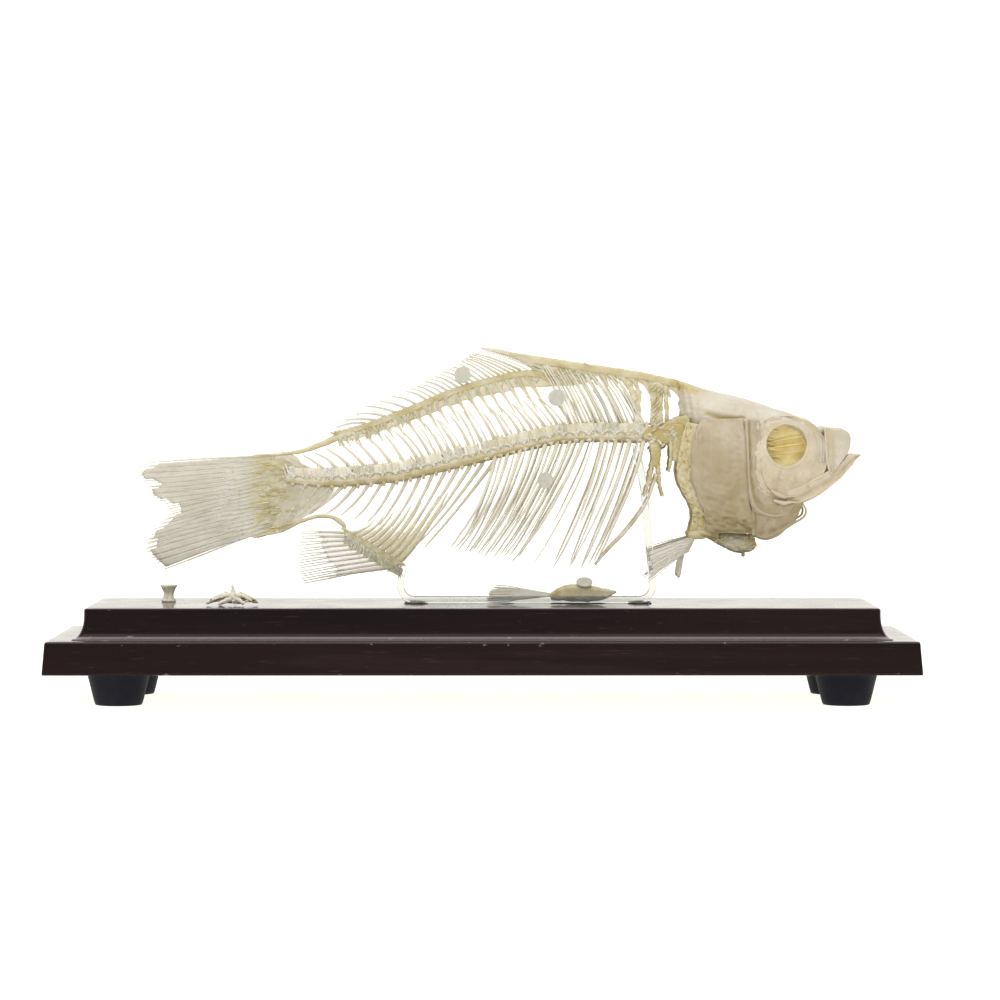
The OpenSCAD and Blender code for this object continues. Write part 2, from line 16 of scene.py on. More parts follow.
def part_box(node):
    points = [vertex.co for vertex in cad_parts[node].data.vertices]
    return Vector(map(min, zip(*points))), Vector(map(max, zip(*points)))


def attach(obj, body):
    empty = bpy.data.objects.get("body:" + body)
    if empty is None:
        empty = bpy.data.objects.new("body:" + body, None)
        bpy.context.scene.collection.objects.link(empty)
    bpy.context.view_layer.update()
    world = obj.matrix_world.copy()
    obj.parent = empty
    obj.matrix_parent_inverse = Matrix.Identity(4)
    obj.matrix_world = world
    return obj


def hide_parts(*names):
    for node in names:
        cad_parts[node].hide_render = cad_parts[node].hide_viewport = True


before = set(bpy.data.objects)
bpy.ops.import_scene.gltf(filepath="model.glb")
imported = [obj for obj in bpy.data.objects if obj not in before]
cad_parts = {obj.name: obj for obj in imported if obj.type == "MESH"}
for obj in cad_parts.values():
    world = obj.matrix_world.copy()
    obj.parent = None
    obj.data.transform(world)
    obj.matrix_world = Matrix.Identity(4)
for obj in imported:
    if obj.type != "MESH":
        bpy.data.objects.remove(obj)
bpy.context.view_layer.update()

MM = 0.001
ZERO_EDGE = 1e-7        # metres; shorter edges are closed up
TAIL_GROWTH = 4.5       # mm that the tail rays run on past their CAD solids
BETWEEN_FROM_X = -24    # mm; thin rays stand between the back fin's rays ahead of this
AHEAD_COUNT = 6         # short rays in the corner under the leading spine
RIB_GAP = 9             # mm; ribs further apart have no thinner bone between them
SIDE_AXIS = np.array([0.0, 1.0, 0.0])
random.seed(7)
noise.seed_set(7)       # without it, noise_vector differs from run to run


def box_mm(node):
    """Lowest and highest corner of a CAD node, in millimetres."""
    low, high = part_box(node)
    return np.array(low) / MM, np.array(high) / MM


PLINTH_LOW, PLINTH_HIGH = box_mm("plinth_board")
TOP_Z = PLINTH_HIGH[2]


# ---------------------------------------------------------------- shapes

class Shape:
    """Gathers the vertices and faces of one piece, with a stain at each vertex; on the plinth that
    value holds wear and a painted highlight.
    """

    def __init__(self):
        self.points = []
        self.faces = []
        self.stain_and_plinth_highlight = []
        self.count = 0

    def add(self, points, faces, stain_and_plinth_highlight=0.0):
        points = np.asarray(points, float)
        self.points.append(points)
        self.faces.extend([tuple(i + self.count for i in f) for f in faces])
        self.stain_and_plinth_highlight.append(np.broadcast_to(np.asarray(stain_and_plinth_highlight, float), len(points)))
        self.count += len(points)

    def roughen(self, size, depth):
        """Moves every vertex a little, so that no bone is perfectly even."""
        cloud = np.concatenate(self.points)
        moved = [p + depth * np.array(noise.noise_vector(Vector(p / size))) for p in cloud]
        self.points = [np.array(moved)]

    def piece(self, name, material, slot, nodes=(), sharp=None):
        """Makes the Blender object and ties it to the frame."""
        mesh = bpy.data.meshes.new(name)
        cloud = np.concatenate(self.points) * MM
        mesh.from_pydata(cloud.tolist(), [], self.faces)
        stain_and_plinth_highlight = mesh.attributes.new("stain_and_plinth_highlight", "FLOAT", "POINT")
        stain_and_plinth_highlight.data.foreach_set("value", np.concatenate(self.stain_and_plinth_highlight).astype(np.float32))
        work = bmesh.new()
        work.from_mesh(mesh)
        loose = [v for v in work.verts if not v.link_faces]
        bmesh.ops.delete(work, geom=loose, context="VERTS")
        # rings that close to a point leave edges without length
        bmesh.ops.dissolve_degenerate(work, dist=ZERO_EDGE, edges=work.edges)
        bmesh.ops.recalc_face_normals(work, faces=work.faces)
        work.to_mesh(mesh)
        work.free()
        mesh.materials.append(material)
        mesh.shade_smooth()
        if sharp is not None:
            mesh.set_sharp_from_angle(angle=math.radians(sharp))
        obj = bpy.data.objects.new(name, mesh)
        bpy.context.scene.collection.objects.link(obj)
        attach(obj, "root")
        if nodes:
            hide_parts(*nodes)
        return obj


def unit(v):
    return v / max(np.linalg.norm(v), 1e-9)


def smooth_line(points, count):
    """Evenly spread points on a Catmull-Rom curve through the given ones."""
    points = np.asarray(points, float)
    ends = np.vstack([2 * points[0] - points[1], points, 2 * points[-1] - points[-2]])
    spot = np.linspace(0, len(points) - 1 - 1e-9, count)
    i = spot.astype(int)
    t = (spot - i)[:, None]
    a, b, c, d = ends[i], ends[i + 1], ends[i + 2], ends[i + 3]
    return 0.5 * (
        2 * b + (c - a) * t + (2 * a - 5 * b + 4 * c - d) * t**2
        + (3 * b - a - 3 * c + d) * t**3
    )


def closed_line(points, count):
    """Smooth closed outline through the points, its first point given again last."""
    points = np.asarray(points, float)
    n = len(points)
    result = []
    for i in range(count):
        spot = (i % (count - 1)) * n / (count - 1)
        k, t = int(spot), spot - int(spot)
        a, b, c, d = (points[(k + m) % n] for m in (-1, 0, 1, 2))
        result.append(0.5 * (2 * b + (c - a) * t + (2 * a - 5 * b + 4 * c - d) * t * t
                             + (3 * b - a - 3 * c + d) * t**3))
    return np.array(result)


def round_section(angle):
    return np.cos(angle), np.sin(angle)


def blade_section(angle):
    """A thin blade with a thicker rib down its middle."""
    c, s = np.cos(angle), np.sin(angle)
    return np.sign(c) * np.abs(c) ** 0.8, np.sign(s) * np.abs(s) ** 2.4 * (1 - 0.1 * c**2)


def channel_section(angle):
    """Round with a shallow groove along each side."""
    c, s = np.cos(angle), np.sin(angle)
    return c, s * (1 - 0.35 * np.exp(-(c / 0.3) ** 2))


def slab_section(angle):
    """A flat strip with round edges."""
    c, s = np.cos(angle), np.sin(angle)
    return np.sign(c) * np.abs(c) ** 0.6, np.sign(s) * np.abs(s) ** 0.5


def bump_at(value, centre, width):
    return math.exp(-((value - centre) / width) ** 2)


def cloudy(x, z, size, seed=0.0):
    """Slow change over a plate, from 0 to 1."""
    return 0.5 + 0.5 * noise.noise(Vector((x / size, z / size, seed)))


def loft(shape, line, sizes, sides=10, steps=20, section=round_section, stain_and_plinth_highlight=0.0,
         tip=1.0, root=1.0):
    """Adds a closed bone along a line. sizes holds half height and half thickness."""
    line = smooth_line(line, steps)
    sizes = np.maximum(smooth_line(sizes, steps), 0.08)
    travel = np.concatenate([[0], np.cumsum(np.linalg.norm(np.diff(line, axis=0), axis=1))])
    angle = np.linspace(0, 2 * math.pi, sides, endpoint=False)
    high, wide = section(angle)
    rings = []
    for i in range(steps):
        along = unit(line[min(i + 1, steps - 1)] - line[max(i - 1, 0)])
        up = unit(np.cross(along, SIDE_AXIS))
        out = np.cross(along, up)
        scale = 1.0
        reach = max(sizes[i][0] * 0.8, 0.1)
        if root and travel[i] < reach * root:
            scale = math.sqrt(1 - (1 - travel[i] / (reach * root)) ** 2) * 0.75 + 0.25
        left = travel[-1] - travel[i]
        if tip and left < reach * tip:
            scale *= math.sqrt(1 - (1 - left / (reach * tip)) ** 2) * 0.75 + 0.25
        a, b = sizes[i] * scale
        rings.append(line[i] + np.outer(high * a, up) + np.outer(wide * b, out))
    points = np.concatenate(rings + [[line[0]], [line[-1]]])
    faces = []
    for i in range(steps - 1):
        for j in range(sides):
            k = (j + 1) % sides
            faces.append((i * sides + j, i * sides + k, (i + 1) * sides + k, (i + 1) * sides + j))
    first, last = steps * sides, steps * sides + 1
    base = (steps - 1) * sides
    for j in range(sides):
        k = (j + 1) % sides
        faces.append((first, k, j))
        faces.append((last, base + j, base + k))
    if callable(stain_and_plinth_highlight):
        value = np.repeat([stain_and_plinth_highlight(i / (steps - 1)) for i in range(steps)], sides)
        value = np.concatenate([value, [value[0], value[-1]]])
    else:
        value = stain_and_plinth_highlight
    shape.add(points, faces, value)


def sheet(shape, outline, thickness, ripple, spokes=90, rings=16, stain_and_plinth_highlight=lambda x, z: 0.25):
    """A flat, slightly rippled patch of skin in the fish's middle plane."""
    rim = closed_line(outline, spokes + 1)[:-1]
    centre = rim.mean(0)
    front, back, stains = [], [], []
    for i in range(rings):
        r = 1 - (1 - i / (rings - 1)) ** 1.3
        for p in rim:
            x, z = centre + (p - centre) * r
            y = ripple * noise.noise(Vector((x, z, 0)) / 2.2)
            half = thickness * (0.35 + 0.65 * (1 - r**6))
            front.append((x, y - half, z))
            back.append((x, y + half, z))
            stains.append(stain_and_plinth_highlight(x, z))
    n, m = spokes, spokes * rings
    faces = []
    for i in range(rings - 1):
        for j in range(n):
            k = (j + 1) % n
            q = (i * n + j, i * n + k, (i + 1) * n + k, (i + 1) * n + j)
            faces += [q, tuple(v + m for v in reversed(q))]
    last = (rings - 1) * n
    for j in range(n):
        k = (j + 1) % n
        faces.append((last + j, last + k, last + k + m, last + j + m))
    shape.add(np.array(front + back), faces, stains * 2)


def skin_between(shape, lines, start, reach, half=0.12, ragged=0.06, steps=26, stain_and_plinth_highlight=0.1):
    """Dry skin between neighbouring bones, from start to reach of their length."""
    lines = [smooth_line(line, steps) for line in lines]
    across = np.linspace(0, 1, 5)
    for a, b in zip(lines, lines[1:]):
        first = int(steps * max(0, start))
        last = int((steps - 1) * min(1, reach + ragged * random.uniform(-1, 1)))
        rows = []
        for i in range(first, last + 1):
            for t in across:
                p = a[i] * (1 - t) + b[i] * t
                sag = 0.16 * math.sin(math.pi * t) * math.sin(i * 0.9 + a[0][2])
                rows.append(p + [0, sag, 0])
        count, n = last - first + 1, len(across)
        front = np.array(rows) - [0, half, 0]
        back = np.array(rows) + [0, half, 0]
        faces = []
        for i in range(count - 1):
            for j in range(n - 1):
                q = (i * n + j, i * n + j + 1, (i + 1) * n + j + 1, (i + 1) * n + j)
                faces.append(q)
                faces.append(tuple(v + count * n for v in reversed(q)))
        rim = [i * n for i in range(count)] + [(count - 1) * n + j for j in range(1, n)]
        rim += [i * n + n - 1 for i in range(count - 2, -1, -1)]
        rim += [j for j in range(n - 2, 0, -1)]
        for i, v in enumerate(rim):
            w = rim[(i + 1) % len(rim)]
            faces.append((w, v, v + count * n, w + count * n))
        shape.add(np.vstack([front, back]), faces, stain_and_plinth_highlight)


def cad_bones(node, corners):
    """Centre lines and half sizes of the bones in a CAD node, fattest end first.

    Each bone there is a row of rings with the given number of corners.
    """
    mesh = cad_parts[node].data
    cloud = np.array([v.co for v in mesh.vertices]) / MM
    spots, same = np.unique(np.round(cloud, 3), axis=0, return_inverse=True)
    same = same.reshape(-1)
    parent = list(range(len(spots)))

    def find(i):
        while parent[i] != i:
            parent[i] = parent[parent[i]]
            i = parent[i]
        return i

    for face in mesh.polygons:
        ids = [find(same[v]) for v in face.vertices]
        for other in ids[1:]:
            parent[other] = ids[0]
    groups = {}
    for i in range(len(spots)):
        groups.setdefault(find(i), []).append(i)
    bones = []
    for members in groups.values():
        points = spots[members]
        rings = len(points) // corners
        if rings * corners != len(points):
            raise ValueError(f"{node}: a bone has {len(points)} corners")
        axis = np.linalg.svd(points - points.mean(0), full_matrices=False)[2][0]
        order = np.argsort(points @ axis)
        rows = points[order].reshape(rings, corners, 3)
        line = rows.mean(1)
        sizes = []
        for i in range(rings):
            along = unit(line[min(i + 1, rings - 1)] - line[max(i - 1, 0)])
            up = unit(np.cross(along, SIDE_AXIS))
            out = np.cross(along, up)
            off = rows[i] - line[i]
            sizes.append([np.abs(off @ up).max(), np.abs(off @ out).max()])
        sizes = np.array(sizes)
        if sizes[0].prod() < sizes[-1].prod():
            line, sizes = line[::-1], sizes[::-1]
        bones.append((line, sizes))
    bones.sort(key=lambda b: -b[0][0][0])
    return bones


def wobble(line, amount, seed):
    """Bends a line a little, more towards its tip."""
    n = len(line)
    moved = line.copy()
    for i in range(n):
        t = i / (n - 1)
        push = noise.noise_vector(Vector((seed * 3.1, t * 1.7, 0.5)))
        moved[i] += np.array(push) * amount * t
    return moved


# ---------------------------------------------------------------- materials

class Look:
    """A small helper to write a node material."""

    def __init__(self, name):
        self.material = bpy.data.materials.new(name)
        self.material.use_nodes = True
        self.tree = self.material.node_tree
        self.shader = self.tree.nodes["Principled BSDF"]
        self.coords = self.tree.nodes.new("ShaderNodeTexCoord").outputs["Object"]

    def node(self, kind, **inputs):
        node = self.tree.nodes.new(kind)
        for name, value in inputs.items():
            self.put(node, name.replace("_", " "), value)
        return node

    def put(self, node, name, value):
        if isinstance(value, bpy.types.NodeSocket):
            self.tree.links.new(value, node.inputs[name])
        else:
            node.inputs[name].default_value = value

    def scaled(self, x, y, z):
        node = self.node("ShaderNodeMapping", Vector=self.coords)
        node.inputs["Scale"].default_value = (x, y, z)
        return node.outputs["Vector"]

    def noise(self, vector, scale, detail=4.0, rough=0.55, distortion=0.0):
        node = self.node("ShaderNodeTexNoise", Vector=vector, Scale=scale, Detail=detail,
                         Roughness=rough, Distortion=distortion)
        return node.outputs["Fac"]

    def ramp(self, factor, *stops):
        node = self.node("ShaderNodeValToRGB", Fac=factor)
        ramp = node.color_ramp
        while len(ramp.elements) < len(stops):
            ramp.elements.new(0.5)
        for element, (place, colour) in zip(ramp.elements, stops):
            element.position = place
            element.color = colour if len(colour) == 4 else (*colour, 1.0)
        return node.outputs["Color"]

    def level(self, factor, low, high, to_low=0.0, to_high=1.0):
        node = self.node("ShaderNodeMapRange", Value=factor)
        node.inputs["From Min"].default_value = low
        node.inputs["From Max"].default_value = high
        node.inputs["To Min"].default_value = to_low
        node.inputs["To Max"].default_value = to_high
        return node.outputs["Result"]

    def mix(self, factor, a, b, kind="MIX"):
        node = self.tree.nodes.new("ShaderNodeMix")
        node.data_type = "RGBA"
        node.blend_type = kind
        node.clamp_factor = True
        self.put(node, "Factor", factor)
        for place, value in (("A", a), ("B", b)):
            target = [s for s in node.inputs if s.name == place and s.type == "RGBA"][0]
            if isinstance(value, bpy.types.NodeSocket):
                self.tree.links.new(value, target)
            else:
                target.default_value = (*value, 1.0)
        return [s for s in node.outputs if s.type == "RGBA"][0]

    def math(self, kind, a, b=0.0):
        node = self.tree.nodes.new("ShaderNodeMath")
        node.operation = kind
        for i, value in enumerate((a, b)):
            if isinstance(value, bpy.types.NodeSocket):
                self.tree.links.new(value, node.inputs[i])
            else:
                node.inputs[i].default_value = value
        return node.outputs[0]

    def attribute(self, name):
        node = self.tree.nodes.new("ShaderNodeAttribute")
        node.attribute_name = name
        return node.outputs["Fac"]

    def bump(self, height, distance, strength=1.0, under=None):
        node = self.node("ShaderNodeBump", Height=height, Distance=distance, Strength=strength)
        if under is not None:
            self.tree.links.new(under, node.inputs["Normal"])
        return node.outputs["Normal"]

    def set(self, **values):
        for name, value in values.items():
            self.put(self.shader, name.replace("_", " "), value)
        return self.material


def bone_look(name, pale, warm, olive, see_through=0.0, subsurface=0.35):
    """Dry fish bone: cream patches, yellow-olive grease, fine pores and streaks."""
    look = Look(name)
    patches = look.noise(look.coords, 90.0, 5.0, 0.6)
    fine = look.noise(look.coords, 900.0, 4.0, 0.65)
    grease = look.noise(look.coords, 160.0, 3.0, 0.5, 0.6)
    base = look.mix(look.level(patches, 0.35, 0.65), pale, warm)
    stain_and_plinth_highlight = look.attribute("stain_and_plinth_highlight")
    spread = look.math("MULTIPLY", stain_and_plinth_highlight, look.level(grease, 0.2, 0.62, 0.35, 1.25))
    colour = look.mix(spread, base, olive)
    specks = look.level(fine, 0.58, 0.74)
    colour = look.mix(look.math("MULTIPLY", specks, 0.4), colour, (0.34, 0.29, 0.20))
    pores = look.node("ShaderNodeTexVoronoi", Vector=look.coords, Scale=1500.0)
    height = look.math("ADD", fine, look.math("MULTIPLY", pores.outputs["Distance"], 0.5))
    coarse = look.bump(patches, 0.0004, 0.5)
    normal = look.bump(height, 0.00018, 0.7, coarse)
    rough = look.level(fine, 0.3, 0.7, 0.45, 0.65)
    return look.set(
        Base_Color=colour, Roughness=rough, Normal=normal,
        Subsurface_Weight=subsurface, Subsurface_Scale=0.0012,
        Subsurface_Radius=(1.0, 0.75, 0.45), IOR=1.45, Alpha=1.0 - see_through,
    )


BONE = bone_look("Bone_Cream", (0.74, 0.71, 0.64), (0.64, 0.60, 0.52), (0.50, 0.43, 0.25))
SPINE = bone_look("Bone_Grey", (0.66, 0.63, 0.56), (0.56, 0.53, 0.45), (0.46, 0.39, 0.22))
COLUMN = bone_look("Bone_Column", (0.78, 0.735, 0.63), (0.69, 0.635, 0.52), (0.43, 0.355, 0.17))
OLIVE = bone_look("Bone_Olive", (0.67, 0.63, 0.50), (0.57, 0.51, 0.36), (0.42, 0.345, 0.145))
RAY = bone_look("Fin_Ray", (0.60, 0.58, 0.52), (0.52, 0.49, 0.42), (0.45, 0.39, 0.20))
PLATE = bone_look("Bone_Plate", (0.49, 0.43, 0.33), (0.385, 0.32, 0.215), (0.31, 0.25, 0.13))
CHEEK = bone_look("Bone_Cheek", (0.63, 0.56, 0.45), (0.55, 0.48, 0.36), (0.40, 0.32, 0.17))
SKULL = bone_look("Bone_Skull", (0.58, 0.54, 0.46), (0.50, 0.45, 0.36), (0.44, 0.35, 0.16))
# yellow bone tone, brightened as painted light: it stands in for light shining through the thin
# orbit wall and lifts the orbit's shade
SOCKET_PAINTED_LIGHT = bone_look("Bone_Socket_Painted_Light", (0.80, 0.68, 0.38), (0.72, 0.57, 0.24), (0.50, 0.38, 0.11))
WEB = bone_look("Fin_Skin", (0.62, 0.59, 0.52), (0.54, 0.51, 0.43), (0.46, 0.40, 0.22),
                see_through=0.12, subsurface=0.1)
SKIN = bone_look("Dry_Skin", (0.66, 0.62, 0.53), (0.57, 0.53, 0.42), (0.45, 0.38, 0.18),
                 see_through=0.35, subsurface=0.1)
HAZE = bone_look("Thin_Skin", (0.76, 0.73, 0.68), (0.68, 0.65, 0.58), (0.52, 0.46, 0.30),
                 see_through=0.65, subsurface=0.1)


def plinth_look():
    """Dark brown foil with a printed wood grain under a glossy coat, nicked at the edges, with a
    painted highlight along the step's top edge and the cove's foot.
    """
    look = Look("Plinth_Dark_Wood")
    long_grain = look.scaled(0.06, 1.0, 1.0)
    broad = look.noise(long_grain, 55.0, 5.0, 0.6, 0.8)
    lines = look.noise(look.scaled(0.025, 1.0, 1.0), 620.0, 3.0, 0.6)
    pores = look.noise(look.scaled(0.05, 1.0, 1.0), 1500.0, 2.0, 0.5)
    colour = look.ramp(broad, (0.3, (0.0065, 0.0028, 0.003)), (0.55, (0.0115, 0.0048, 0.005)),
                       (0.75, (0.019, 0.0082, 0.0085)))
    streak = look.level(lines, 0.5, 0.68)
    colour = look.mix(look.math("MULTIPLY", streak, 0.5), colour, (0.006, 0.003, 0.0035))
    flecks = look.level(pores, 0.66, 0.76)
    colour = look.mix(look.math("MULTIPLY", flecks, 0.35), colour, (0.06, 0.04, 0.036))
    chips = look.level(look.noise(look.scaled(0.45, 1.0, 1.0), 330.0, 4.0, 0.6), 0.665, 0.69)
    wear_and_highlight = look.math("MULTIPLY", chips, look.attribute("stain_and_plinth_highlight"))
    # painted highlight: where the vertex value is 0.8 or more, the colour is lifted towards pale
    # grey, standing in for light caught at the step's edge and the cove's foot
    dust_and_highlight = look.level(look.attribute("stain_and_plinth_highlight"), 0.8, 1.0, 0.0, 0.5)
    colour = look.mix(dust_and_highlight, colour, (0.32, 0.262, 0.262))
    colour = look.mix(wear_and_highlight, colour, (0.30, 0.24, 0.20))
    height = look.math("SUBTRACT", look.math("ADD", lines, flecks), wear_and_highlight)
    rough = look.level(look.noise(look.coords, 70.0, 4.0), 0.3, 0.7, 0.2, 0.34)
    coat = look.level(broad, 0.35, 0.65, 0.52, 0.64)
    return look.set(Base_Color=colour, Roughness=rough, Normal=look.bump(height, 0.00005, 0.35),
                    IOR=1.15, Coat_Weight=coat, Coat_Roughness=0.045, Coat_IOR=1.26)


def rubber_look():
    look = Look("Foot_Rubber")
    fine = look.noise(look.coords, 1800.0, 5.0, 0.7)
    dust_and_highlight = look.noise(look.coords, 120.0, 5.0, 0.6)
    colour = look.mix(look.level(dust_and_highlight, 0.45, 0.75), (0.006, 0.0068, 0.0125), (0.012, 0.013, 0.02))
    return look.set(Base_Color=colour, Roughness=look.level(fine, 0.3, 0.7, 0.5, 0.7),
                    Normal=look.bump(fine, 0.00008, 0.5), IOR=1.24)


def steel_look():
    look = Look("Zinc_Steel")
    fine = look.noise(look.coords, 900.0, 4.0)
    colour = look.mix(fine, (0.52, 0.53, 0.55), (0.68, 0.69, 0.7))
    return look.set(Base_Color=colour, Metallic=1.0,
                    Roughness=look.level(fine, 0.3, 0.7, 0.25, 0.45),
                    Normal=look.bump(fine, 0.00002, 0.4))


def acrylic_look():
    """Clear strip, a little grey-green where light crosses more of it."""
    look = Look("Clear_Acrylic")
    smear = look.noise(look.coords, 260.0, 4.0, 0.6)
    colour = look.mix(smear, (0.86, 0.875, 0.84), (0.76, 0.785, 0.74))
    return look.set(Base_Color=colour, Roughness=look.level(smear, 0.35, 0.7, 0.06, 0.2),
                    Normal=look.bump(smear, 0.00003, 0.25),
                    Transmission_Weight=0.9, IOR=1.49)


def glue_look():
    look = Look("Set_Glue")
    fine = look.noise(look.coords, 500.0, 3.0)
    colour = look.mix(fine, (0.10, 0.09, 0.07), (0.20, 0.18, 0.13))
    return look.set(Base_Color=colour, Roughness=look.level(fine, 0.3, 0.7, 0.12, 0.3),
                    Normal=look.bump(fine, 0.0002, 0.4), Transmission_Weight=0.25, IOR=1.48)


def paper_look():
    look = Look("Label_Paper")
    fibre = look.noise(look.scaled(1.0, 1.0, 0.3), 2200.0, 4.0, 0.7)
    grime = look.noise(look.coords, 420.0, 4.0, 0.6)
    colour = look.mix(look.level(grime, 0.35, 0.7), (0.50, 0.485, 0.42), (0.40, 0.385, 0.32))
    return look.set(Base_Color=colour, Roughness=look.level(fibre, 0.3, 0.7, 0.55, 0.75),
                    Normal=look.bump(fibre, 0.00006, 0.5))


PLINTH = plinth_look()
RUBBER = rubber_look()
STEEL = steel_look()
ACRYLIC = acrylic_look()
GLUE = glue_look()
PAPER = paper_look()


# ---------------------------------------------------------------- plinth and feet

def rounded_loop(half_x, half_y, radius, z, per_corner=7):
    """Points round a rectangle with rounded corners, at one height."""
    points = []
    for cx, cy, start in ((1, 1, 0), (-1, 1, 90), (-1, -1, 180), (1, -1, 270)):
        for i in range(per_corner):
            a = math.radians(start + 90 * i / (per_corner - 1))
            points.append((
                cx * (half_x - radius) + radius * math.cos(a),
                cy * (half_y - radius) + radius * math.sin(a),
                z,
            ))
    return points


def make_plinth():
    """The CAD profile with softened edges, carried round all four sides."""
    half_x, half_y = PLINTH_HIGH[0], PLINTH_HIGH[1]
    bottom, top = PLINTH_LOW[2], PLINTH_HIGH[2]
    step_height = 13.5
    step_top = bottom + step_height
    draft, cove_in, shelf, quirk, lip = 1.0, 14.5, 10.0, 0.5, 3.2
    cove_foot = draft + shelf
    cove_top = draft + cove_in
    low, high = step_top + quirk, top - lip
    rows = [
        # inset, height, corner radius, wear and painted highlight (lifted from 0.8 up)
        (draft + 6, bottom, 1.0, 0), (draft + 0.5, bottom, 1.0, 0),
        (draft - 0.9, bottom + 0.15, 1.2, 0.6), (draft - 1.0, bottom + 0.6, 1.2, 0.3),
        (draft - 0.94, bottom + 1.3, 1.2, 0.1),
        (draft - 0.5, bottom + 6.5, 1.3, 0.0), (draft - 0.1, step_top - 2.0, 1.4, 0.0),
        (draft - 0.02, step_top - 0.9, 1.4, 0.8), (draft + 0.25, step_top - 0.25, 1.5, 0.84),
        (draft + 0.9, step_top, 1.6, 0.84), (draft + shelf - 3.4, step_top, 2.2, 0.5),
        # the cove's foot, valued 1.0: wear and the full painted highlight
        (cove_foot - 0.45, step_top - 0.05, 2.6, 1.0), (cove_foot - 0.3, step_top - 0.32, 2.6, 1),
        (cove_foot + 0.02, step_top - 0.3, 2.6, 1.0),
        (cove_foot + 0.05, step_top + quirk - 0.1, 2.6, 1.0),
        (cove_foot + 0.25, step_top + quirk, 2.7, 0.8),
    ]
    # the lowest cove rows, valued 1.0, also carry the full painted highlight
    for i in range(1, 12):
        a = math.radians(90 - 90 * i / 11)
        rows.append((cove_foot + (cove_top - cove_foot) * math.cos(a),
                     high - (high - low) * math.sin(a), 2.8, 1.0 if i < 4 else 0.05))
    rows[-1] = (cove_top, high, 2.8, 0.1)
    rows += [
        (cove_top + 0.02, high + 0.4, 2.8, 0.1), (cove_top + 0.03, top - 0.8, 2.8, 0.4),
        (cove_top + 0.25, top - 0.22, 2.9, 0.7), (cove_top + 0.85, top, 3.0, 0.3),
        (cove_top + 6, top, 3.0, 0), (cove_top + 16, top, 3.0, 0), (cove_top + 30, top, 3.0, 0),
    ]
    loops, row_wear_and_highlight = [], []
    for inset, z, radius, wear_and_highlight in rows:
        loop = rounded_loop(half_x - inset, half_y - inset, radius, z)
        loops.append(loop)
        row_wear_and_highlight += [wear_and_highlight] * len(loop)
    n = len(loops[0])
    points = np.array(loops).reshape(-1, 3)
    faces = []
    for i in range(len(loops) - 1):
        for j in range(n):
            k = (j + 1) % n
            faces.append((i * n + j, i * n + k, (i + 1) * n + k, (i + 1) * n + j))
    faces.append(tuple(range(n - 1, -1, -1)))
    faces.append(tuple((len(loops) - 1) * n + j for j in range(n)))
    shape = Shape()
    shape.add(points, faces, row_wear_and_highlight)
    return shape.piece("Plinth_Board", PLINTH, "plinth_wood", ["plinth_board"], sharp=50)


def lathe(shape, centre, profile, sides=64, stain_and_plinth_highlight=0.0):
    """Adds a turned form. The profile is (radius, height), from bottom to top."""
    points = []
    for r, z in profile:
        for j in range(sides):
            a = 2 * math.pi * j / sides
            points.append((centre[0] + r * math.cos(a), centre[1] + r * math.sin(a),
                           centre[2] + z))
    faces = []
    for i in range(len(profile) - 1):
        for j in range(sides):
            k = (j + 1) % sides
            faces.append((i * sides + j, i * sides + k, (i + 1) * sides + k,
                          (i + 1) * sides + j))
    faces.append(tuple(range(sides - 1, -1, -1)))
    faces.append(tuple((len(profile) - 1) * sides + j for j in range(sides)))
    shape.add(points, faces, stain_and_plinth_highlight)


def make_foot(node, name):
    low, high = box_mm(node)
    centre = ((low[0] + high[0]) / 2, (low[1] + high[1]) / 2, 0.0)
    top_r = (high[0] - low[0]) / 2
    tall = high[2]
    low_r = 9.6
    shape = Shape()
    slope = (top_r - low_r) / tall
    wall = [(low_r - 0.9, 0.0), (low_r - 0.35, 0.1), (low_r - 0.02, 0.45)]
    for i in range(1, 9):
        z = 0.9 + (tall - 2.0) * i / 8
        wall.append((low_r + slope * z - 0.03, z))
    wall += [(top_r - 0.1, tall - 0.8), (top_r - 0.12, tall - 0.35), (top_r - 0.5, tall)]
    inner = [(5.2, tall - 6.5), (5.2, 0.5), (5.5, 0.1), (5.9, 0.0)]
    ring = [(2.3, tall), (2.3, 7.0), (2.5, 6.6), (5.0, 6.6)] + inner + wall
    points, sides = [], 72
    for r, z in ring:
        for j in range(sides):
            a = 2 * math.pi * j / sides
            points.append((centre[0] + r * math.cos(a), centre[1] + r * math.sin(a), z))
    faces = []
    count = len(ring)
    for i in range(count):
        for j in range(sides):
            k, n = (j + 1) % sides, (i + 1) % count
            faces.append((i * sides + j, i * sides + k, n * sides + k, n * sides + j))
    shape.add(points, faces)
    return shape.piece(name, RUBBER, "foot_rubber", [node], sharp=45)


def make_fasteners():
    """Washers and screw heads, seen only from below."""
    washers, screws = Shape(), Shape()
    for node in FEET:
        low, high = box_mm(node)
        x, y = (low[0] + high[0]) / 2, (low[1] + high[1]) / 2
        lathe(washers, (x, y, 0), [(2.4, 5.55), (4.6, 5.5), (4.8, 5.65), (4.8, 6.3),
                                   (4.65, 6.45), (2.4, 6.45)], 48)
        head = [(0.5, 3.5), (0.9, 3.15), (2.6, 3.15), (3.2, 3.3), (3.7, 3.9), (3.95, 4.7),
                (3.95, 5.3), (3.8, 5.45), (1.95, 5.5)]
        z = 6.0
        while z < 23.0:
            head += [(1.95, z), (1.6, z + 0.3), (1.6, z + 0.5), (1.95, z + 0.8)]
            z += 1.2
        lathe(screws, (x, y, 0), head + [(1.4, 23.6), (0.2, 24.2)], 40)
    washers.piece("Foot_Washers", STEEL, "zinc_steel", ["foot_washers"], sharp=40)
    screws.piece("Foot_Screws", STEEL, "zinc_steel", ["foot_screws"], sharp=40)


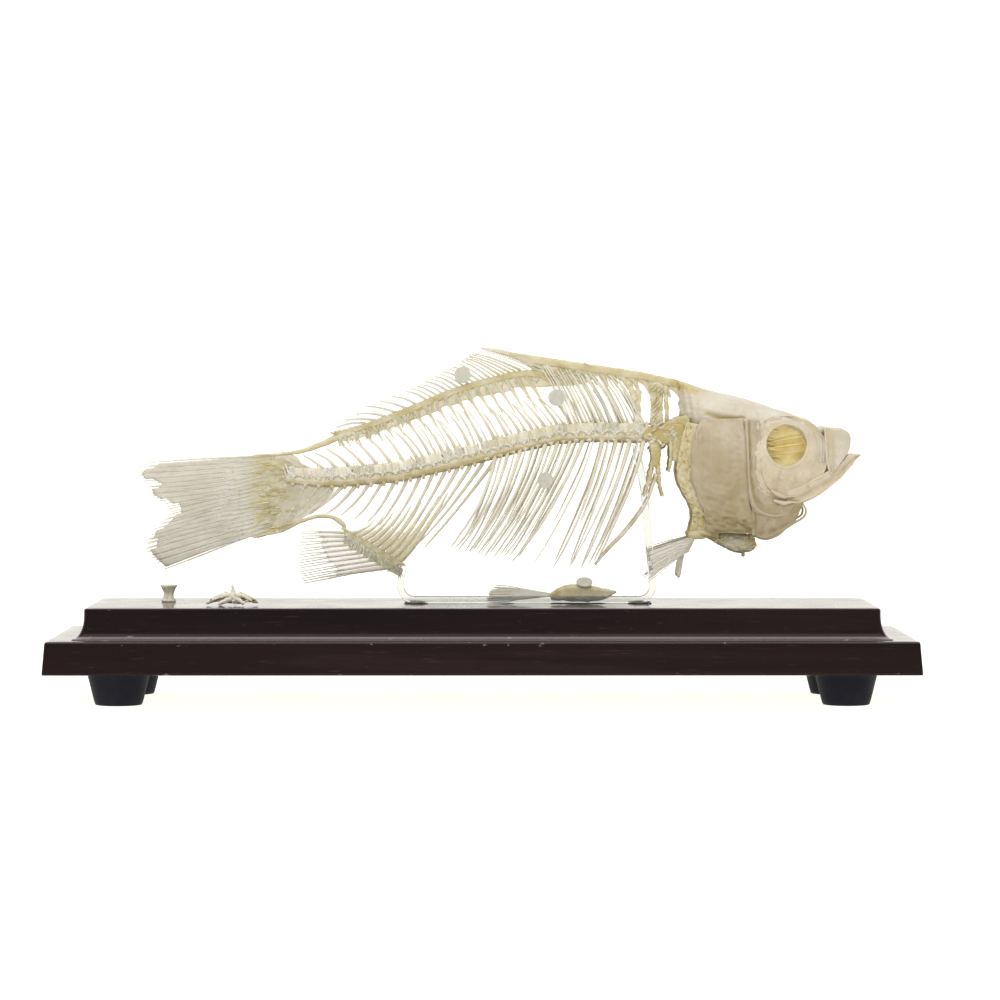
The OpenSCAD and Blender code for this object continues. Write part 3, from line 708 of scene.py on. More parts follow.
FEET = [
    "rubber_foot_front_left", "rubber_foot_front_right",
    "rubber_foot_rear_left", "rubber_foot_rear_right",
]
make_plinth()
for foot in FEET:
    make_foot(foot, foot.title())
make_fasteners()


# ---------------------------------------------------------------- clear stand

def copy_of(node, name, material):
    """A new piece that starts as the CAD solid, with shared corners joined."""
    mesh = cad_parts[node].data.copy()
    mesh.materials.clear()
    mesh.materials.append(material)
    work = bmesh.new()
    work.from_mesh(mesh)
    bmesh.ops.remove_doubles(work, verts=work.verts, dist=1e-6)
    bmesh.ops.dissolve_limit(work, angle_limit=math.radians(1), verts=work.verts,
                             edges=work.edges)
    work.to_mesh(mesh)
    work.free()
    obj = bpy.data.objects.new(name, mesh)
    bpy.context.scene.collection.objects.link(obj)
    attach(obj, "root")
    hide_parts(node)
    return obj


def make_stand():
    stand = copy_of("clear_stand", "Clear_Stand", ACRYLIC)
    bevel = stand.modifiers.new("Edge", "BEVEL")
    bevel.width = 0.35 * MM
    bevel.segments = 2
    bevel.limit_method = "ANGLE"
    bevel.angle_limit = math.radians(35)
    stand.data.shade_smooth()
    stand.data.set_sharp_from_angle(angle=math.radians(40))


def make_glue():
    """Uneven beads along both edges of the strip, at each bend."""
    low, high = box_mm("stand_glue")
    shape = Shape()
    for x in (low[0] + 2.4, high[0] - 2.4):
        for y in (low[1] + 1.8, high[1] - 1.8):
            side = math.copysign(1, y)
            line = [(x - 4.6, y - 0.4 * side, TOP_Z + 0.2), (x - 1, y - 0.5 * side, TOP_Z + 0.4),
                    (x + 3.4, y - 0.4 * side, TOP_Z + 0.35), (x + 5.4, y, TOP_Z + 0.15)]
            loft(shape, line, [(0.25, 0.5), (0.55, 1.1), (0.45, 0.9), (0.2, 0.4)], 10, 18)
    shape.roughen(2.0, 0.18)
    shape.piece("Stand_Glue", GLUE, "glue", ["stand_glue"])


make_stand()
make_glue()


# ---------------------------------------------------------------- column and spines

def centrum(shape, line, sizes, trunk):
    """One vertebra: low rims, a ridged waist, pits, and the hooks of its arches."""
    a, b = line[0], line[-1]
    r = sizes.max()
    along = unit(b - a)
    up = unit(np.cross(along, SIDE_AXIS))
    if up[2] < 0:
        up = -up
    out = np.cross(along, up)
    sides = 28
    rim = [(-1.0, 0.0), (-0.9, 0.5), (-0.98, 0.86), (-1.0, 0.96)]
    profile = [(u, f * r) for u, f in rim]
    for i in range(15):
        u = -1 + 2 * i / 14
        profile.append((u, r * (0.87 + 0.13 * abs(u) ** 2.4)))
    profile += [(-u, f) for u, f in reversed(profile[:4])]
    half = np.linalg.norm(b - a) / 2 + 0.16
    mid = (a + b) / 2
    points, stains = [], []
    turn = random.random()
    for u, radius in profile:
        for j in range(sides):
            t = 2 * math.pi * j / sides
            waist = 1 - min(1, abs(u)) ** 2
            ridge = 0.06 * waist * math.cos(8 * t + turn) * r
            pit = 0.1 * waist * r * math.exp(-((math.sin(t) ** 2 - 0.9) / 0.2) ** 2)
            reach = radius + ridge - pit
            points.append(mid + along * u * half + up * reach * math.cos(t)
                          + out * reach * math.sin(t))
            stains.append(0.5 - 0.4 * math.cos(t) + 0.12 * waist)
    faces = []
    for i in range(len(profile) - 1):
        for j in range(sides):
            k = (j + 1) % sides
            faces.append((i * sides + j, (i + 1) * sides + j, (i + 1) * sides + k,
                          i * sides + k))
    shape.add(points, faces, stains)
    for side in (-1, 1):
        foot = mid + up * r * 0.15 + out * side * r * 0.9
        crown = mid + up * (r + 2.6) + out * side * 0.8
        loft(shape, [foot, (foot + crown) / 2 + out * side * 0.3, crown],
             [(0.8, 0.4), (0.9, 0.5), (0.7, 0.4)], 10, 12, stain_and_plinth_highlight=0.05)
        for way, lift in ((1, 0.9), (-1, 1.9)):
            start = foot + up * 1.0
            hook = start + along * way * half * 1.1 + up * lift
            loft(shape, [start, (start + hook) / 2 + up * 0.2, hook],
                 [(0.6, 0.5), (0.5, 0.45), (0.22, 0.18)], 7, 7, stain_and_plinth_highlight=0.12)
        if trunk:
            knob = mid - up * r * 0.6 + out * side * r * 0.8
            loft(shape, [mid - up * r * 0.3 + out * side * r * 0.6, knob,
                         knob - up * 0.7 + out * side * 0.1],
                 [(1.5, 0.6), (1.3, 0.5), (0.7, 0.35)], 8, 8, stain_and_plinth_highlight=0.5)
        else:
            low = mid - up * r * 0.5 + out * side * r * 0.55
            keel = mid - up * (r + 1.0) + out * side * 0.5
            loft(shape, [low, (low + keel) / 2 + out * side * 0.3, keel],
                 [(1.0, 0.45), (0.8, 0.4), (0.4, 0.3)], 10, 8, blade_section, 0.6)


def make_column():
    """Centra with their own plates and hooks, and an arch band along each side above them."""
    for node, name, trunk in (("trunk_vertebrae", "Trunk_Vertebrae", True),
                              ("tail_vertebrae", "Tail_Vertebrae", False)):
        shape = Shape()
        bones = cad_bones(node, 8)
        for line, sizes in bones:
            centrum(shape, line, sizes, trunk)
        for side in (-1, 1):
            path, wide = [], []
            for line, sizes in bones:
                r = sizes.max()
                for t, swell in ((0.1, 0.86), (0.4, 1.04), (0.8, 0.94)):
                    spot = line[0] * (1 - t) + line[-1] * t
                    path.append(spot + [0, 0.8 * r * side, r + 0.8])
                    wide.append((2.1 * swell + random.uniform(-0.15, 0.15), 0.5))
                for i in range(4):
                    spot = line[0] * (1 - i / 4) + line[-1] * i / 4
                    foot = spot + [random.uniform(-0.3, 0.3), 0.94 * r * side, 0.25 * r]
                    crown = foot + [random.uniform(-2.2, -0.2), -0.3 * side,
                                    r + random.uniform(1.4, 4.4)]
                    half = random.uniform(0.16, 0.3)
                    loft(shape, [foot, (foot + crown) / 2 + [0.2, 0.2 * side, 0], crown],
                         [(half, 0.35), (half, 0.35), (half * 0.6, 0.2)], 7, 12,
                         stain_and_plinth_highlight=random.uniform(0.0, 0.6))
            loft(shape, path, wide, 16, 3 * len(path), slab_section,
                 stain_and_plinth_highlight=lambda t: (0.38 if trunk else 0.22) + 0.15 * math.sin(90 * t))
        shape.roughen(1.0, 0.14)
        shape.piece(name, COLUMN, "bone_olive", [node])


def make_spines():
    for node, name in (("neural_spines", "Neural_Spines"), ("haemal_spines", "Haemal_Spines")):
        shape = Shape()
        lines = []
        for i, (line, sizes) in enumerate(cad_bones(node, 4)):
            line = wobble(line, 0.9, i + len(node))
            sizes = sizes * random.uniform(0.74, 0.9)
            loft(shape, line, sizes, 10, 22, channel_section,
                 stain_and_plinth_highlight=lambda t: 0.3 * (1 - t) ** 2 + 0.08)
            lines.append(line)
        shape.roughen(2.2, 0.1)
        shape.piece(name, SPINE, "bone", [node])
        if node == "haemal_spines":
            web = Shape()
            near_tail = [line for line in lines if line[0][0] < -56]
            skin_between(web, near_tail, 0.02, 0.55, 0.12, 0.12)
            web.piece("Haemal_Skin", HAZE, "fin_ray")


def make_ribs():
    """The CAD ribs, and a thinner bone between neighbouring ones. The bone has no CAD solid."""
    for node, name in (("ribs_right", "Ribs_Right"), ("ribs_left", "Ribs_Left")):
        shape = Shape()
        bones = cad_bones(node, 5)
        for i, (line, sizes) in enumerate(bones):
            line = wobble(line, 2.0, i * 1.7 + len(node))
            loft(shape, line, sizes * random.uniform(0.64, 0.84), 10, 40, channel_section,
                 stain_and_plinth_highlight=lambda t: 0.5 * (1 - t) ** 3 + 0.06)
        for i, ((a, _), (b, sizes)) in enumerate(zip(bones, bones[1:])):
            if np.linalg.norm(a[0] - b[0]) > RIB_GAP:
                continue
            part = random.uniform(0.35, 0.6)
            end = random.randint(len(a) - 3, len(a) - 1)
            line = wobble((a * part + b * (1 - part))[:end + 1], 1.4, i + 40)
            loft(shape, line, [(0.3, 0.28), (0.38, 0.34), (0.16, 0.14)], 8, 30, stain_and_plinth_highlight=0.15)
        shape.roughen(3.0, 0.12)
        shape.piece(name, SPINE, "bone", [node])


make_column()
make_spines()
make_ribs()


# ---------------------------------------------------------------- fins

def make_supports():
    for node, name in (("back_fin_supports", "Back_Fin_Supports"),
                       ("vent_fin_supports", "Vent_Fin_Supports")):
        at_back = node.startswith("back")
        shape, web = Shape(), Shape()
        bones = cad_bones(node, 6)
        for i, (line, sizes) in enumerate(bones):
            line = wobble(line, 0.5, i * 2.3 + len(node))
            loft(shape, line, sizes * [0.7, 0.7], 12, 18, blade_section,
                 stain_and_plinth_highlight=lambda t: 0.4 - 0.35 * t)
        heads = [line[0] for line, _ in bones]
        first = heads[0] + (heads[0] - heads[1]) * 0.8
        last = heads[-1] + (heads[-1] - heads[-2]) * 0.8
        front = [first]
        if at_back:
            # on towards the nape, where the band runs into the ridge
            front = [heads[0] + [22, 0, 2.4], heads[0] + [11, 0, 0.2]]
        path = front + heads + [last]
        wide = [(0.9, 0.7)] * len(front) + [(1.4, 1.1)] * len(heads) + [(0.6, 0.6)]
        if at_back:
            wide[1] = (1.9, 1.0)
            wide[-4:-1] = [(1.3, 1.0), (1.2, 0.9), (1.0, 0.8)]
        loft(shape, path, wide, 14, 6 * len(path), channel_section,
             stain_and_plinth_highlight=lambda t: 0.55 + 0.25 * math.sin(40 * t))
        line = smooth_line(path, 400)
        drop = 3.2
        under = line[4:396:12] - [0, 0, drop]
        deep = np.linspace(2.3, 0.6, len(under)) if at_back else np.full(len(under), 1.7)
        loft(shape, under, [(half + random.uniform(-0.35, 0.35), 0.5) for half in deep], 12, 150,
             slab_section,
             stain_and_plinth_highlight=lambda t: 0.12 + 0.12 * math.sin(31 * t))
        for _ in range(150):
            spot = line[random.randint(6, 390)]
            reach = random.uniform(drop, drop + 3.2)
            lean = random.uniform(-1.6, 2.6)
            y = random.choice((-0.55, 0.55))
            size = random.uniform(0.16, 0.34)
            loft(shape, [spot + [0, y, -0.8], spot + [0.4 * lean, 1.5 * y, -0.55 * reach],
                         spot + [lean, y, -reach]],
                 [(size, 0.3), (size, 0.3), (0.14, 0.12)], 7, 9,
                 stain_and_plinth_highlight=random.uniform(0.0, 0.5))
        for i in range(len(path) * 2):
            spot = line[int(i / (len(path) * 2 - 1) * 399)]
            loft(shape, [spot + [0.9, 0, 0.4], spot + [0, 0, 0.8], spot + [-1.3, 0, 0.9]],
                 [(0.5, 0.8), (0.6, 1.0), (0.3, 0.4)], 8, 8, stain_and_plinth_highlight=0.4)
        shape.roughen(1.4, 0.16)
        shape.piece(name, OLIVE, "bone_olive", [node])
        skin_between(web, [line for line, _ in bones], 0.0, 0.5, 0.2, 0.06, stain_and_plinth_highlight=0.2)
        web.piece(name + "_Skin", SKIN if at_back else HAZE, "fin_ray")


def jointed_ray(shape, line, sizes, split, spread, stain_and_plinth_highlight, steps=34):
    """A fin ray of short joints. Beyond the split it runs on as two branches."""
    line = smooth_line(line, steps)
    sizes = smooth_line(sizes, steps)
    cut = int(split * (steps - 1))
    along = unit(line[-1] - line[0])
    up = unit(np.cross(along, SIDE_AXIS))
    joints = np.array([1.0 if i % 3 else 0.88 for i in range(steps)])[:, None]
    if cut >= steps - 3:
        loft(shape, line, sizes * joints, 8, steps, channel_section, stain_and_plinth_highlight)
        return
    loft(shape, line[:cut + 2], (sizes * joints)[:cut + 2], 8, cut + 2, channel_section,
         lambda t: stain_and_plinth_highlight(t * split), tip=0)
    for way in (-1, 1):
        fan = np.clip(np.arange(steps - cut) / (0.5 * (steps - cut)), 0, 1)[:, None]
        path = line[cut:] + way * up * (0.2 + fan * spread)
        loft(shape, path, (sizes * joints * 0.7)[cut:], 7, steps - cut, channel_section,
             lambda t: stain_and_plinth_highlight(split + t * (1 - split)))


def make_fins():
    plans = (
        # node, piece, where rays fork, gap of the fork, reach of the skin, height and
        # thickness of a ray against CAD, how far its root runs on inwards
        ("tail_fin_rays", "Tail_Fin_Rays", 0.24, 0.46, 0.95, 0.62, 0.66, 6.5),
        ("back_fin_rays", "Back_Fin_Rays", 0.9, 0.2, 0.0, 0.8, 0.8, 1.0),
        ("vent_fin_rays", "Vent_Fin_Rays", 0.5, 0.3, 0.6, 0.85, 0.8, 2.0),
        ("front_fin_right", "Front_Fin_Right", 0.4, 0.35, 0.95, 0.7, 0.6, 0.0),
        ("front_fin_left", "Front_Fin_Left", 0.4, 0.35, 0.95, 0.7, 0.6, 0.0),
        ("loose_hip_fin", "Loose_Hip_Fin", 0.5, 0.3, 0.94, 0.75, 0.8, 4.0),
    )
    for node, name, split, spread, skin, high, thick, inwards in plans:
        rays = []
        for line, sizes in cad_bones(node, 4):
            if line[0][0] < line[-1][0]:
                line, sizes = line[::-1], sizes[::-1]
            rays.append((line, sizes))
        rays.sort(key=lambda r: r[0][-1][2])
        if node == "back_fin_rays":
            between = [((a + c) / 2, (b + d) * 0.36) for (a, b), (c, d) in zip(rays, rays[1:])
                       if a[0][0] > BETWEEN_FROM_X]
            foremost, sizes = max(rays, key=lambda r: r[0][0][0])
            root = foremost[0]
            ahead = []
            for k in range(1, AHEAD_COUNT + 1):
                line = root + (foremost - root) * (1 - 0.12 * k)
                ahead.append((line + [2.7 * k, 0, 0.25 * k], sizes * 0.4))
            rays = sorted(rays + between + ahead, key=lambda r: r[0][-1][2])
        shape = Shape()
        lines = []
        for i, (line, sizes) in enumerate(rays):
            line = wobble(line, 0.5, i * 1.9 + len(node))
            line[0] += unit(line[0] - line[1]) * inwards
            if node == "tail_fin_rays":
                line[-1] += unit(line[-1] - line[-2]) * TAIL_GROWTH
            fork = split + 0.06 * random.uniform(-1, 1)
            jointed_ray(shape, line, sizes * [high, thick], fork, spread,
                        lambda t: 0.12 + 0.7 * math.exp(-(t / 0.12) ** 2))
            lines.append(line)
        shape.roughen(1.0, 0.05)
        shape.piece(name, RAY, "fin_ray", [node])
        if skin:
            web = Shape()
            skin_between(web, lines, 0.0, skin, 0.26, 0.04)
            web.piece(name + "_Skin", HAZE if node == "vent_fin_rays" else WEB, "fin_ray")


def make_tail_plate():
    """Flat fan bones over a sheet of skin, which the ray roots overlap."""
    shape = Shape()
    for line, sizes in cad_bones("tail_plate", 6):
        if line[0][0] < line[-1][0]:
            line, sizes = line[::-1], sizes[::-1]
        loft(shape, line, sizes * [1.4, 0.5], 14, 18, blade_section,
             stain_and_plinth_highlight=lambda t: 0.6 - 0.2 * t)
    outline = [(-95.0, 100.2), (-88, 100.8), (-82, 99.6), (-78, 96), (-75.4, 90), (-75, 82),
               (-77, 75.4), (-84, 69.6), (-95.0, 66.6), (-94.2, 76), (-95.4, 84), (-94.4, 92)]
    sheet(shape, outline, 0.4, 0.5,
          stain_and_plinth_highlight=lambda x, z: (0.15 + 0.6 * bump_at(x, -88.6, 5.5)) * (0.6 + 0.7 * cloudy(x, z, 2)))
    for _ in range(80):
        x = random.uniform(-94, -78)
        z = random.uniform(70, 98)
        turn = (z - 84) * 0.03 + random.uniform(-0.4, 0.4)
        y = random.choice((-0.6, 0.6))
        size = random.uniform(0.14, 0.32)
        loft(shape, [(x - 2.4, y * 0.9, z + turn), (x, y * 1.15, z), (x + 2.4, y * 0.9, z - turn)],
             [(size * 0.6, 0.2), (size, 0.3), (size * 0.6, 0.2)], 7, 10,
             stain_and_plinth_highlight=random.uniform(0.0, 0.9))
    shape.roughen(1.5, 0.15)
    shape.piece("Tail_Plate", OLIVE, "bone_olive", ["tail_plate"])


def make_leading_spine():
    shape = Shape()
    line, sizes = cad_bones("back_fin_spine", 6)[0]
    loft(shape, line, sizes, 14, 40, channel_section, stain_and_plinth_highlight=lambda t: 0.5 - 0.3 * t)
    line = smooth_line(line, 30)
    for i in range(6, 27):
        root = line[i] + np.array([0.0, 0.0, -0.7])
        loft(shape, [root, root + [-0.5, 0, -0.55], root + [-1.1, 0, -0.8]],
             [(0.3, 0.3), (0.2, 0.2), (0.08, 0.08)], 6, 5, stain_and_plinth_highlight=0.1)
    shape.roughen(1.5, 0.08)
    shape.piece("Back_Fin_Spine", SPINE, "bone_olive", ["back_fin_spine"])


make_supports()
make_fins()
make_tail_plate()
make_leading_spine()


# ---------------------------------------------------------------- head

def head_w(x):
    """Half of the head's width at a place along it."""
    return np.interp(x, [80, 95, 108, 120, 133, 141, 150, 156],
                     [16.5, 18.5, 17.6, 14.4, 10, 7.4, 5, 2.4])


def flank_y(x, z):
    return -head_w(x) * math.sqrt(max(0.05, 1 - ((z - 102) / 52) ** 2))


def patch(shape, edge_a, edge_b, side, thick=0.9, lift=0.0, relief=None, stain_and_plinth_highlight=None,
          nu=64, nv=20, closed=False):
    """A thin bone on the flank, between two edge lines given as (x, z) points."""
    if closed:
        a, b = closed_line(edge_a, nu), closed_line(edge_b, nu)
    else:
        a, b = smooth_line(edge_a, nu), smooth_line(edge_b, nu)
    span = np.linalg.norm(np.diff((a + b) / 2, axis=0), axis=1).sum()
    front, back, stains = [], [], []
    for i in range(nu):
        u = i / (nu - 1)
        for j in range(nv):
            v = 0.5 - 0.5 * math.cos(math.pi * j / (nv - 1))
            x, z = a[i] * (1 - v) + b[i] * v
            gap = min(v, 1 - v) * np.linalg.norm(b[i] - a[i])
            if not closed:
                gap = min(gap, min(u, 1 - u) * span)
            round_off = math.sqrt(1 - (1 - min(1, gap / 1.2)) ** 2)
            rise = lift + (relief(x, z, u, v) if relief else 0.0) * min(1, gap / 0.8)
            y = flank_y(x, z) - rise
            half = thick / 2 * (0.25 + 0.75 * round_off)
            front.append((x, y - half, z))
            back.append((x, y + half, z))
            stains.append(stain_and_plinth_highlight(x, z, u, v) if stain_and_plinth_highlight else 0.2)
    points = np.array(front + back)
    if side > 0:
        points[:, 1] *= -1
    m = nu * nv
    faces = []
    for i in range(nu - 1):
        for j in range(nv - 1):
            q = (i * nv + j, i * nv + j + 1, (i + 1) * nv + j + 1, (i + 1) * nv + j)
            faces.append(q)
            faces.append(tuple(w + m for w in reversed(q)))
        for j in (0, nv - 1):
            v, w = i * nv + j, (i + 1) * nv + j
            faces.append((v, w, w + m, v + m))
    if closed:
        last = (nu - 1) * nv
        faces = [tuple(w - last if w % m >= last else w for w in f) for f in faces]
    else:
        for i in (0, nu - 1):
            for j in range(nv - 1):
                v = i * nv + j
                faces.append((v, v + 1, v + 1 + m, v + m))
    shape.add(points, faces, np.array(stains * 2))


def growth(x, z, origin, pitch, depth):
    """Growth lines round a plate's oldest corner, with fine rays out of it."""
    dx, dz = x - origin[0], z - origin[1]
    waver = 2.5 * noise.noise(Vector((x, z, 0)) / 9)
    rings = math.sin(2 * math.pi * math.hypot(dx, dz) / pitch + waver)
    rays = math.sin(58 * math.atan2(dz, dx) + waver)
    return depth * (rings + 0.8 * rays)


def mirrored(points, side):
    """Points given for the right flank, moved to the left one where asked."""
    points = np.array(points, float)
    if side > 0:
        points[:, 1] *= -1
    return points


def flank_line(spots, out=0.0):
    return [(x, flank_y(x, z) - out, z) for x, z in spots]


HINGE = (106.2, 112.5)


def gill_relief(x, z, u, v):
    strut = 0.6 * bump_at(v, 0.93, 0.05) + 0.3 * bump_at(v, 0.06, 0.05)
    streaks = 0.3 * math.sin(x * 4.4) * bump_at(z, 108, 7) * bump_at(x, 88.5, 2.8)
    hollow = -0.9 * math.sin(math.pi * u) * math.sin(math.pi * v)
    lumps = 0.7 * noise.noise(Vector((x, z, 2)) / 6) + 0.45 * noise.noise(Vector((x, z, 5)) / 2)
    pits = -2.0 * max(0.0, noise.noise(Vector((x, z, 11)) / 1.5) - 0.06) * bump_at(z, 71.5, 3.6)
    sunk = -1.2 * bump_at(z, 117, 2.6) - 1.0 * bump_at(z, 68.6, 1.2)
    return growth(x, z, HINGE, 2.6, 0.07) + strut + streaks - hollow + lumps + pits + sunk


def gill_stain(x, z, u, v):
    low = np.interp(z, [70, 84, 100, 114], [0.95, 0.7, 0.45, 0.0]) * min(1.0, 0.5 + 3 * v)
    pits = 2.5 * max(0.0, noise.noise(Vector((x, z, 11)) / 1.5) - 0.08) * bump_at(z, 71.5, 3.6)
    streaks = 0.25 * math.sin(x * 4.4) * bump_at(z, 108, 7) * bump_at(x, 88.5, 2.8)
    return low * (0.7 + 0.5 * cloudy(x, z, 8, 9)) + 0.2 * bump_at(v, 0.0, 0.05) + pits - streaks


def make_gill_covers():
    rear = [(89.4, 115.4), (86.6, 110), (85.2, 103), (85.1, 96), (85.8, 89), (88.2, 82.6),
            (90.4, 78.0), (91.4, 73.6), (91.6, 69.4)]
    front = [(106.2, 116), (107.4, 109), (107.9, 102), (108.2, 95), (108.6, 88),
             (109.2, 81), (110.4, 76.4), (111.0, 72.6), (111.2, 68.6)]
    for side, word in ((-1, "Right"), (1, "Left")):
        shape = Shape()
        patch(shape, rear, front, side, 0.8, 0.3, gill_relief, gill_stain, 110, 44)
        edge = flank_line([(86.4, 90), (88.6, 83.4), (90.8, 78.6), (91.8, 74)], 0.8)
        loft(shape, mirrored(edge, side), [(0.3, 0.4), (0.6, 0.4), (0.6, 0.4), (0.3, 0.3)],
             10, 40, stain_and_plinth_highlight=0.2)
        shape.roughen(4.0, 0.2)
        shape.piece(f"Gill_Cover_{word}", PLATE, "bone", [f"gill_cover_{word.lower()}"])


def lower_relief(x, z, u, v):
    rim = 0.45 * bump_at(v, 0.96, 0.05) - 0.3 * bump_at(v, 0.86, 0.05)
    fold = -0.5 * bump_at(x, 111.8, 0.5)
    lumps = 0.6 * noise.noise(Vector((x, z, 7)) / 3)
    return growth(x, z, (109, 78), 1.9, 0.06) + rim + fold + lumps


def make_lower_gill_covers():
    plates = (
        # top edge, bottom edge, lift
        ([(89.6, 80), (96, 79), (104, 78.4), (113, 78.6)],
         [(91.2, 71.6), (96, 69.8), (103.6, 69.3), (113, 68.4)], -1.2),
        ([(110.0, 82), (117, 80.6), (124, 80.6), (131.6, 81.4)],
         [(110.2, 67.4), (116, 66.1), (121.6, 68.6), (128.4, 73.6)], 0.3),
    )
    for side, word in ((-1, "Right"), (1, "Left")):
        shape = Shape()
        for top, bottom, lift in plates:
            patch(shape, top, bottom, side, 0.8, lift, lower_relief,
                  lambda x, z, u, v: (0.75 * (0.7 + 0.4 * cloudy(x, z, 6, 3))
                                      + 0.5 * bump_at(x, 111.8, 0.5)), 64, 26)
        rim = flank_line([(111.5, 68), (116, 66.5), (120.6, 67.8), (125, 71.2), (129.6, 74),
                          (132.2, 76), (132.6, 78.4), (131.4, 80.8)], 0.3)
        loft(shape, mirrored(rim, side), [(0.35, 0.4), (0.55, 0.5), (0.5, 0.5), (0.5, 0.5),
                                          (0.45, 0.5), (0.45, 0.5), (0.45, 0.5), (0.3, 0.3)],
             10, 80, stain_and_plinth_highlight=0.35)
        shape.roughen(3.0, 0.2)
        shape.piece(f"Lower_Gill_Cover_{word}", PLATE, "bone",
                    [f"lower_gill_cover_{word.lower()}"])


def ridge_relief(x, z, u, v):
    ridge = 0.7 * bump_at(v, 0.12, 0.09)
    groove = -0.5 * bump_at(v, 0.3, 0.09)
    inner = -1.3 * max(0.0, v - 0.4) / 0.6
    outer = -0.5 * bump_at(v, 0.0, 0.05)
    pores = -0.35 * max(0, math.sin(34 * u)) ** 6 * bump_at(v, 0.3, 0.15)
    return ridge + groove + inner + outer + pores + 0.4 * noise.noise(Vector((x, z, 1)) / 2.4)


def make_gill_ridges():
    outer = [(107.0, 115.6), (107.3, 108), (107.7, 100), (108.0, 92), (108.7, 84.4),
             (110.8, 78.4), (115.4, 75.4), (121.6, 75), (127.4, 77.2), (131.2, 80)]
    inner = [(113.2, 115), (113.6, 108), (113.8, 100), (114.4, 93), (116.2, 88.4),
             (119.4, 85.4), (122.6, 83.8), (126, 82.8), (129, 82.2), (132, 82)]
    for side, word in ((-1, "Right"), (1, "Left")):
        shape = Shape()
        patch(shape, outer, inner, side, 0.7, 0.4, ridge_relief,
              lambda x, z, u, v: (0.15 - 0.3 * bump_at(v, 0.1, 0.08) + 0.8 * bump_at(v, 0.28, 0.1)
                                  + 0.45 * u * (0.6 + 0.6 * cloudy(x, z, 4))), 120, 34)
        shape.roughen(3.0, 0.12)
        shape.piece(f"Gill_Cover_Ridge_{word}", PLATE, "bone",
                    [f"gill_cover_ridge_{word.lower()}"])


ORBIT = (124.5, 105.0)
ORBIT_R = 8.4
CHEEK_REACH = [
    (0, 16.6), (30, 14.6), (60, 12.4), (90, 12), (135, 13.6), (180, 14), (205, 16.6),
    (225, 19.8), (247.5, 22.2), (270, 21.6), (292.5, 21.2), (315, 20), (337.5, 18.4),
]
CHEEK_SEAMS = (-2.62, -1.8, -1.02, -0.3, 2.5)


def cheek_relief(x, z, u, v):
    rim = 0.5 * bump_at(v, 0.04, 0.06)
    angle = math.atan2(z - ORBIT[1], x - ORBIT[0])
    seams = sum(-0.2 * bump_at(angle, s, 0.03) for s in CHEEK_SEAMS) * min(1, v * 3)
    canal = 0.3 * bump_at(v, 0.3, 0.05) - 0.35 * bump_at(v, 0.38, 0.04)
    canal *= 0.5 + 1.4 * noise.noise(Vector((x, z, 8)) / 5)
    fan = 0.12 * math.sin(50 * angle + 3 * v) * v
    above = max(0.0, math.sin(angle)) ** 0.5
    sunk = -(1.0 + 0.8 * above) * max(0.0, v - 0.4) / 0.6
    lumps = 0.8 * noise.noise(Vector((x, z, 6)) / 5) + 0.7 * noise.noise(Vector((x, z, 3)) / 1.6)
    return rim + seams + canal + fan + sunk + lumps * min(1, 2 * v)


def cheek_stain(x, z, u, v):
    angle = math.atan2(z - ORBIT[1], x - ORBIT[0])
    seams = sum(bump_at(angle, s, 0.05) for s in CHEEK_SEAMS)
    low = np.interp(z, [83, 95, 106], [0.5, 0.38, 0.2])
    return low * (0.5 + 0.8 * cloudy(x, z, 6, 3)) + 0.3 * seams * v


def make_cheeks():
    hole, outline = [], []
    for degrees, reach in CHEEK_REACH:
        a = math.radians(degrees)
        outline.append((ORBIT[0] + reach * math.cos(a), ORBIT[1] + reach * math.sin(a)))
    for degrees in range(0, 360, 24):
        a = math.radians(degrees)
        r = ORBIT_R * (1 + 0.02 * math.sin(3 * a))
        hole.append((ORBIT[0] + r * math.cos(a), ORBIT[1] + r * math.sin(a)))
    for side, word in ((-1, "Right"), (1, "Left")):
        shape = Shape()
        patch(shape, hole, outline, side, 0.9, 0.2, cheek_relief, cheek_stain, 132, 34,
              closed=True)
        # small bones behind the lower rim, and the joint of the jaw
        for spots in ([(118, 86.4), (121, 84.6), (124.4, 83.4)],
                      [(119, 82.4), (123, 81.2), (127, 81.6)]):
            line = flank_line(spots, 0.9)
            loft(shape, mirrored(line, side), [(0.5, 0.5), (1.0, 0.8), (0.5, 0.5)], 10, 24,
                 stain_and_plinth_highlight=0.25)
        shape.roughen(4.0, 0.15)
        shape.piece(f"Cheek_Bones_{word}", CHEEK, "bone", [f"cheek_bones_{word.lower()}"])


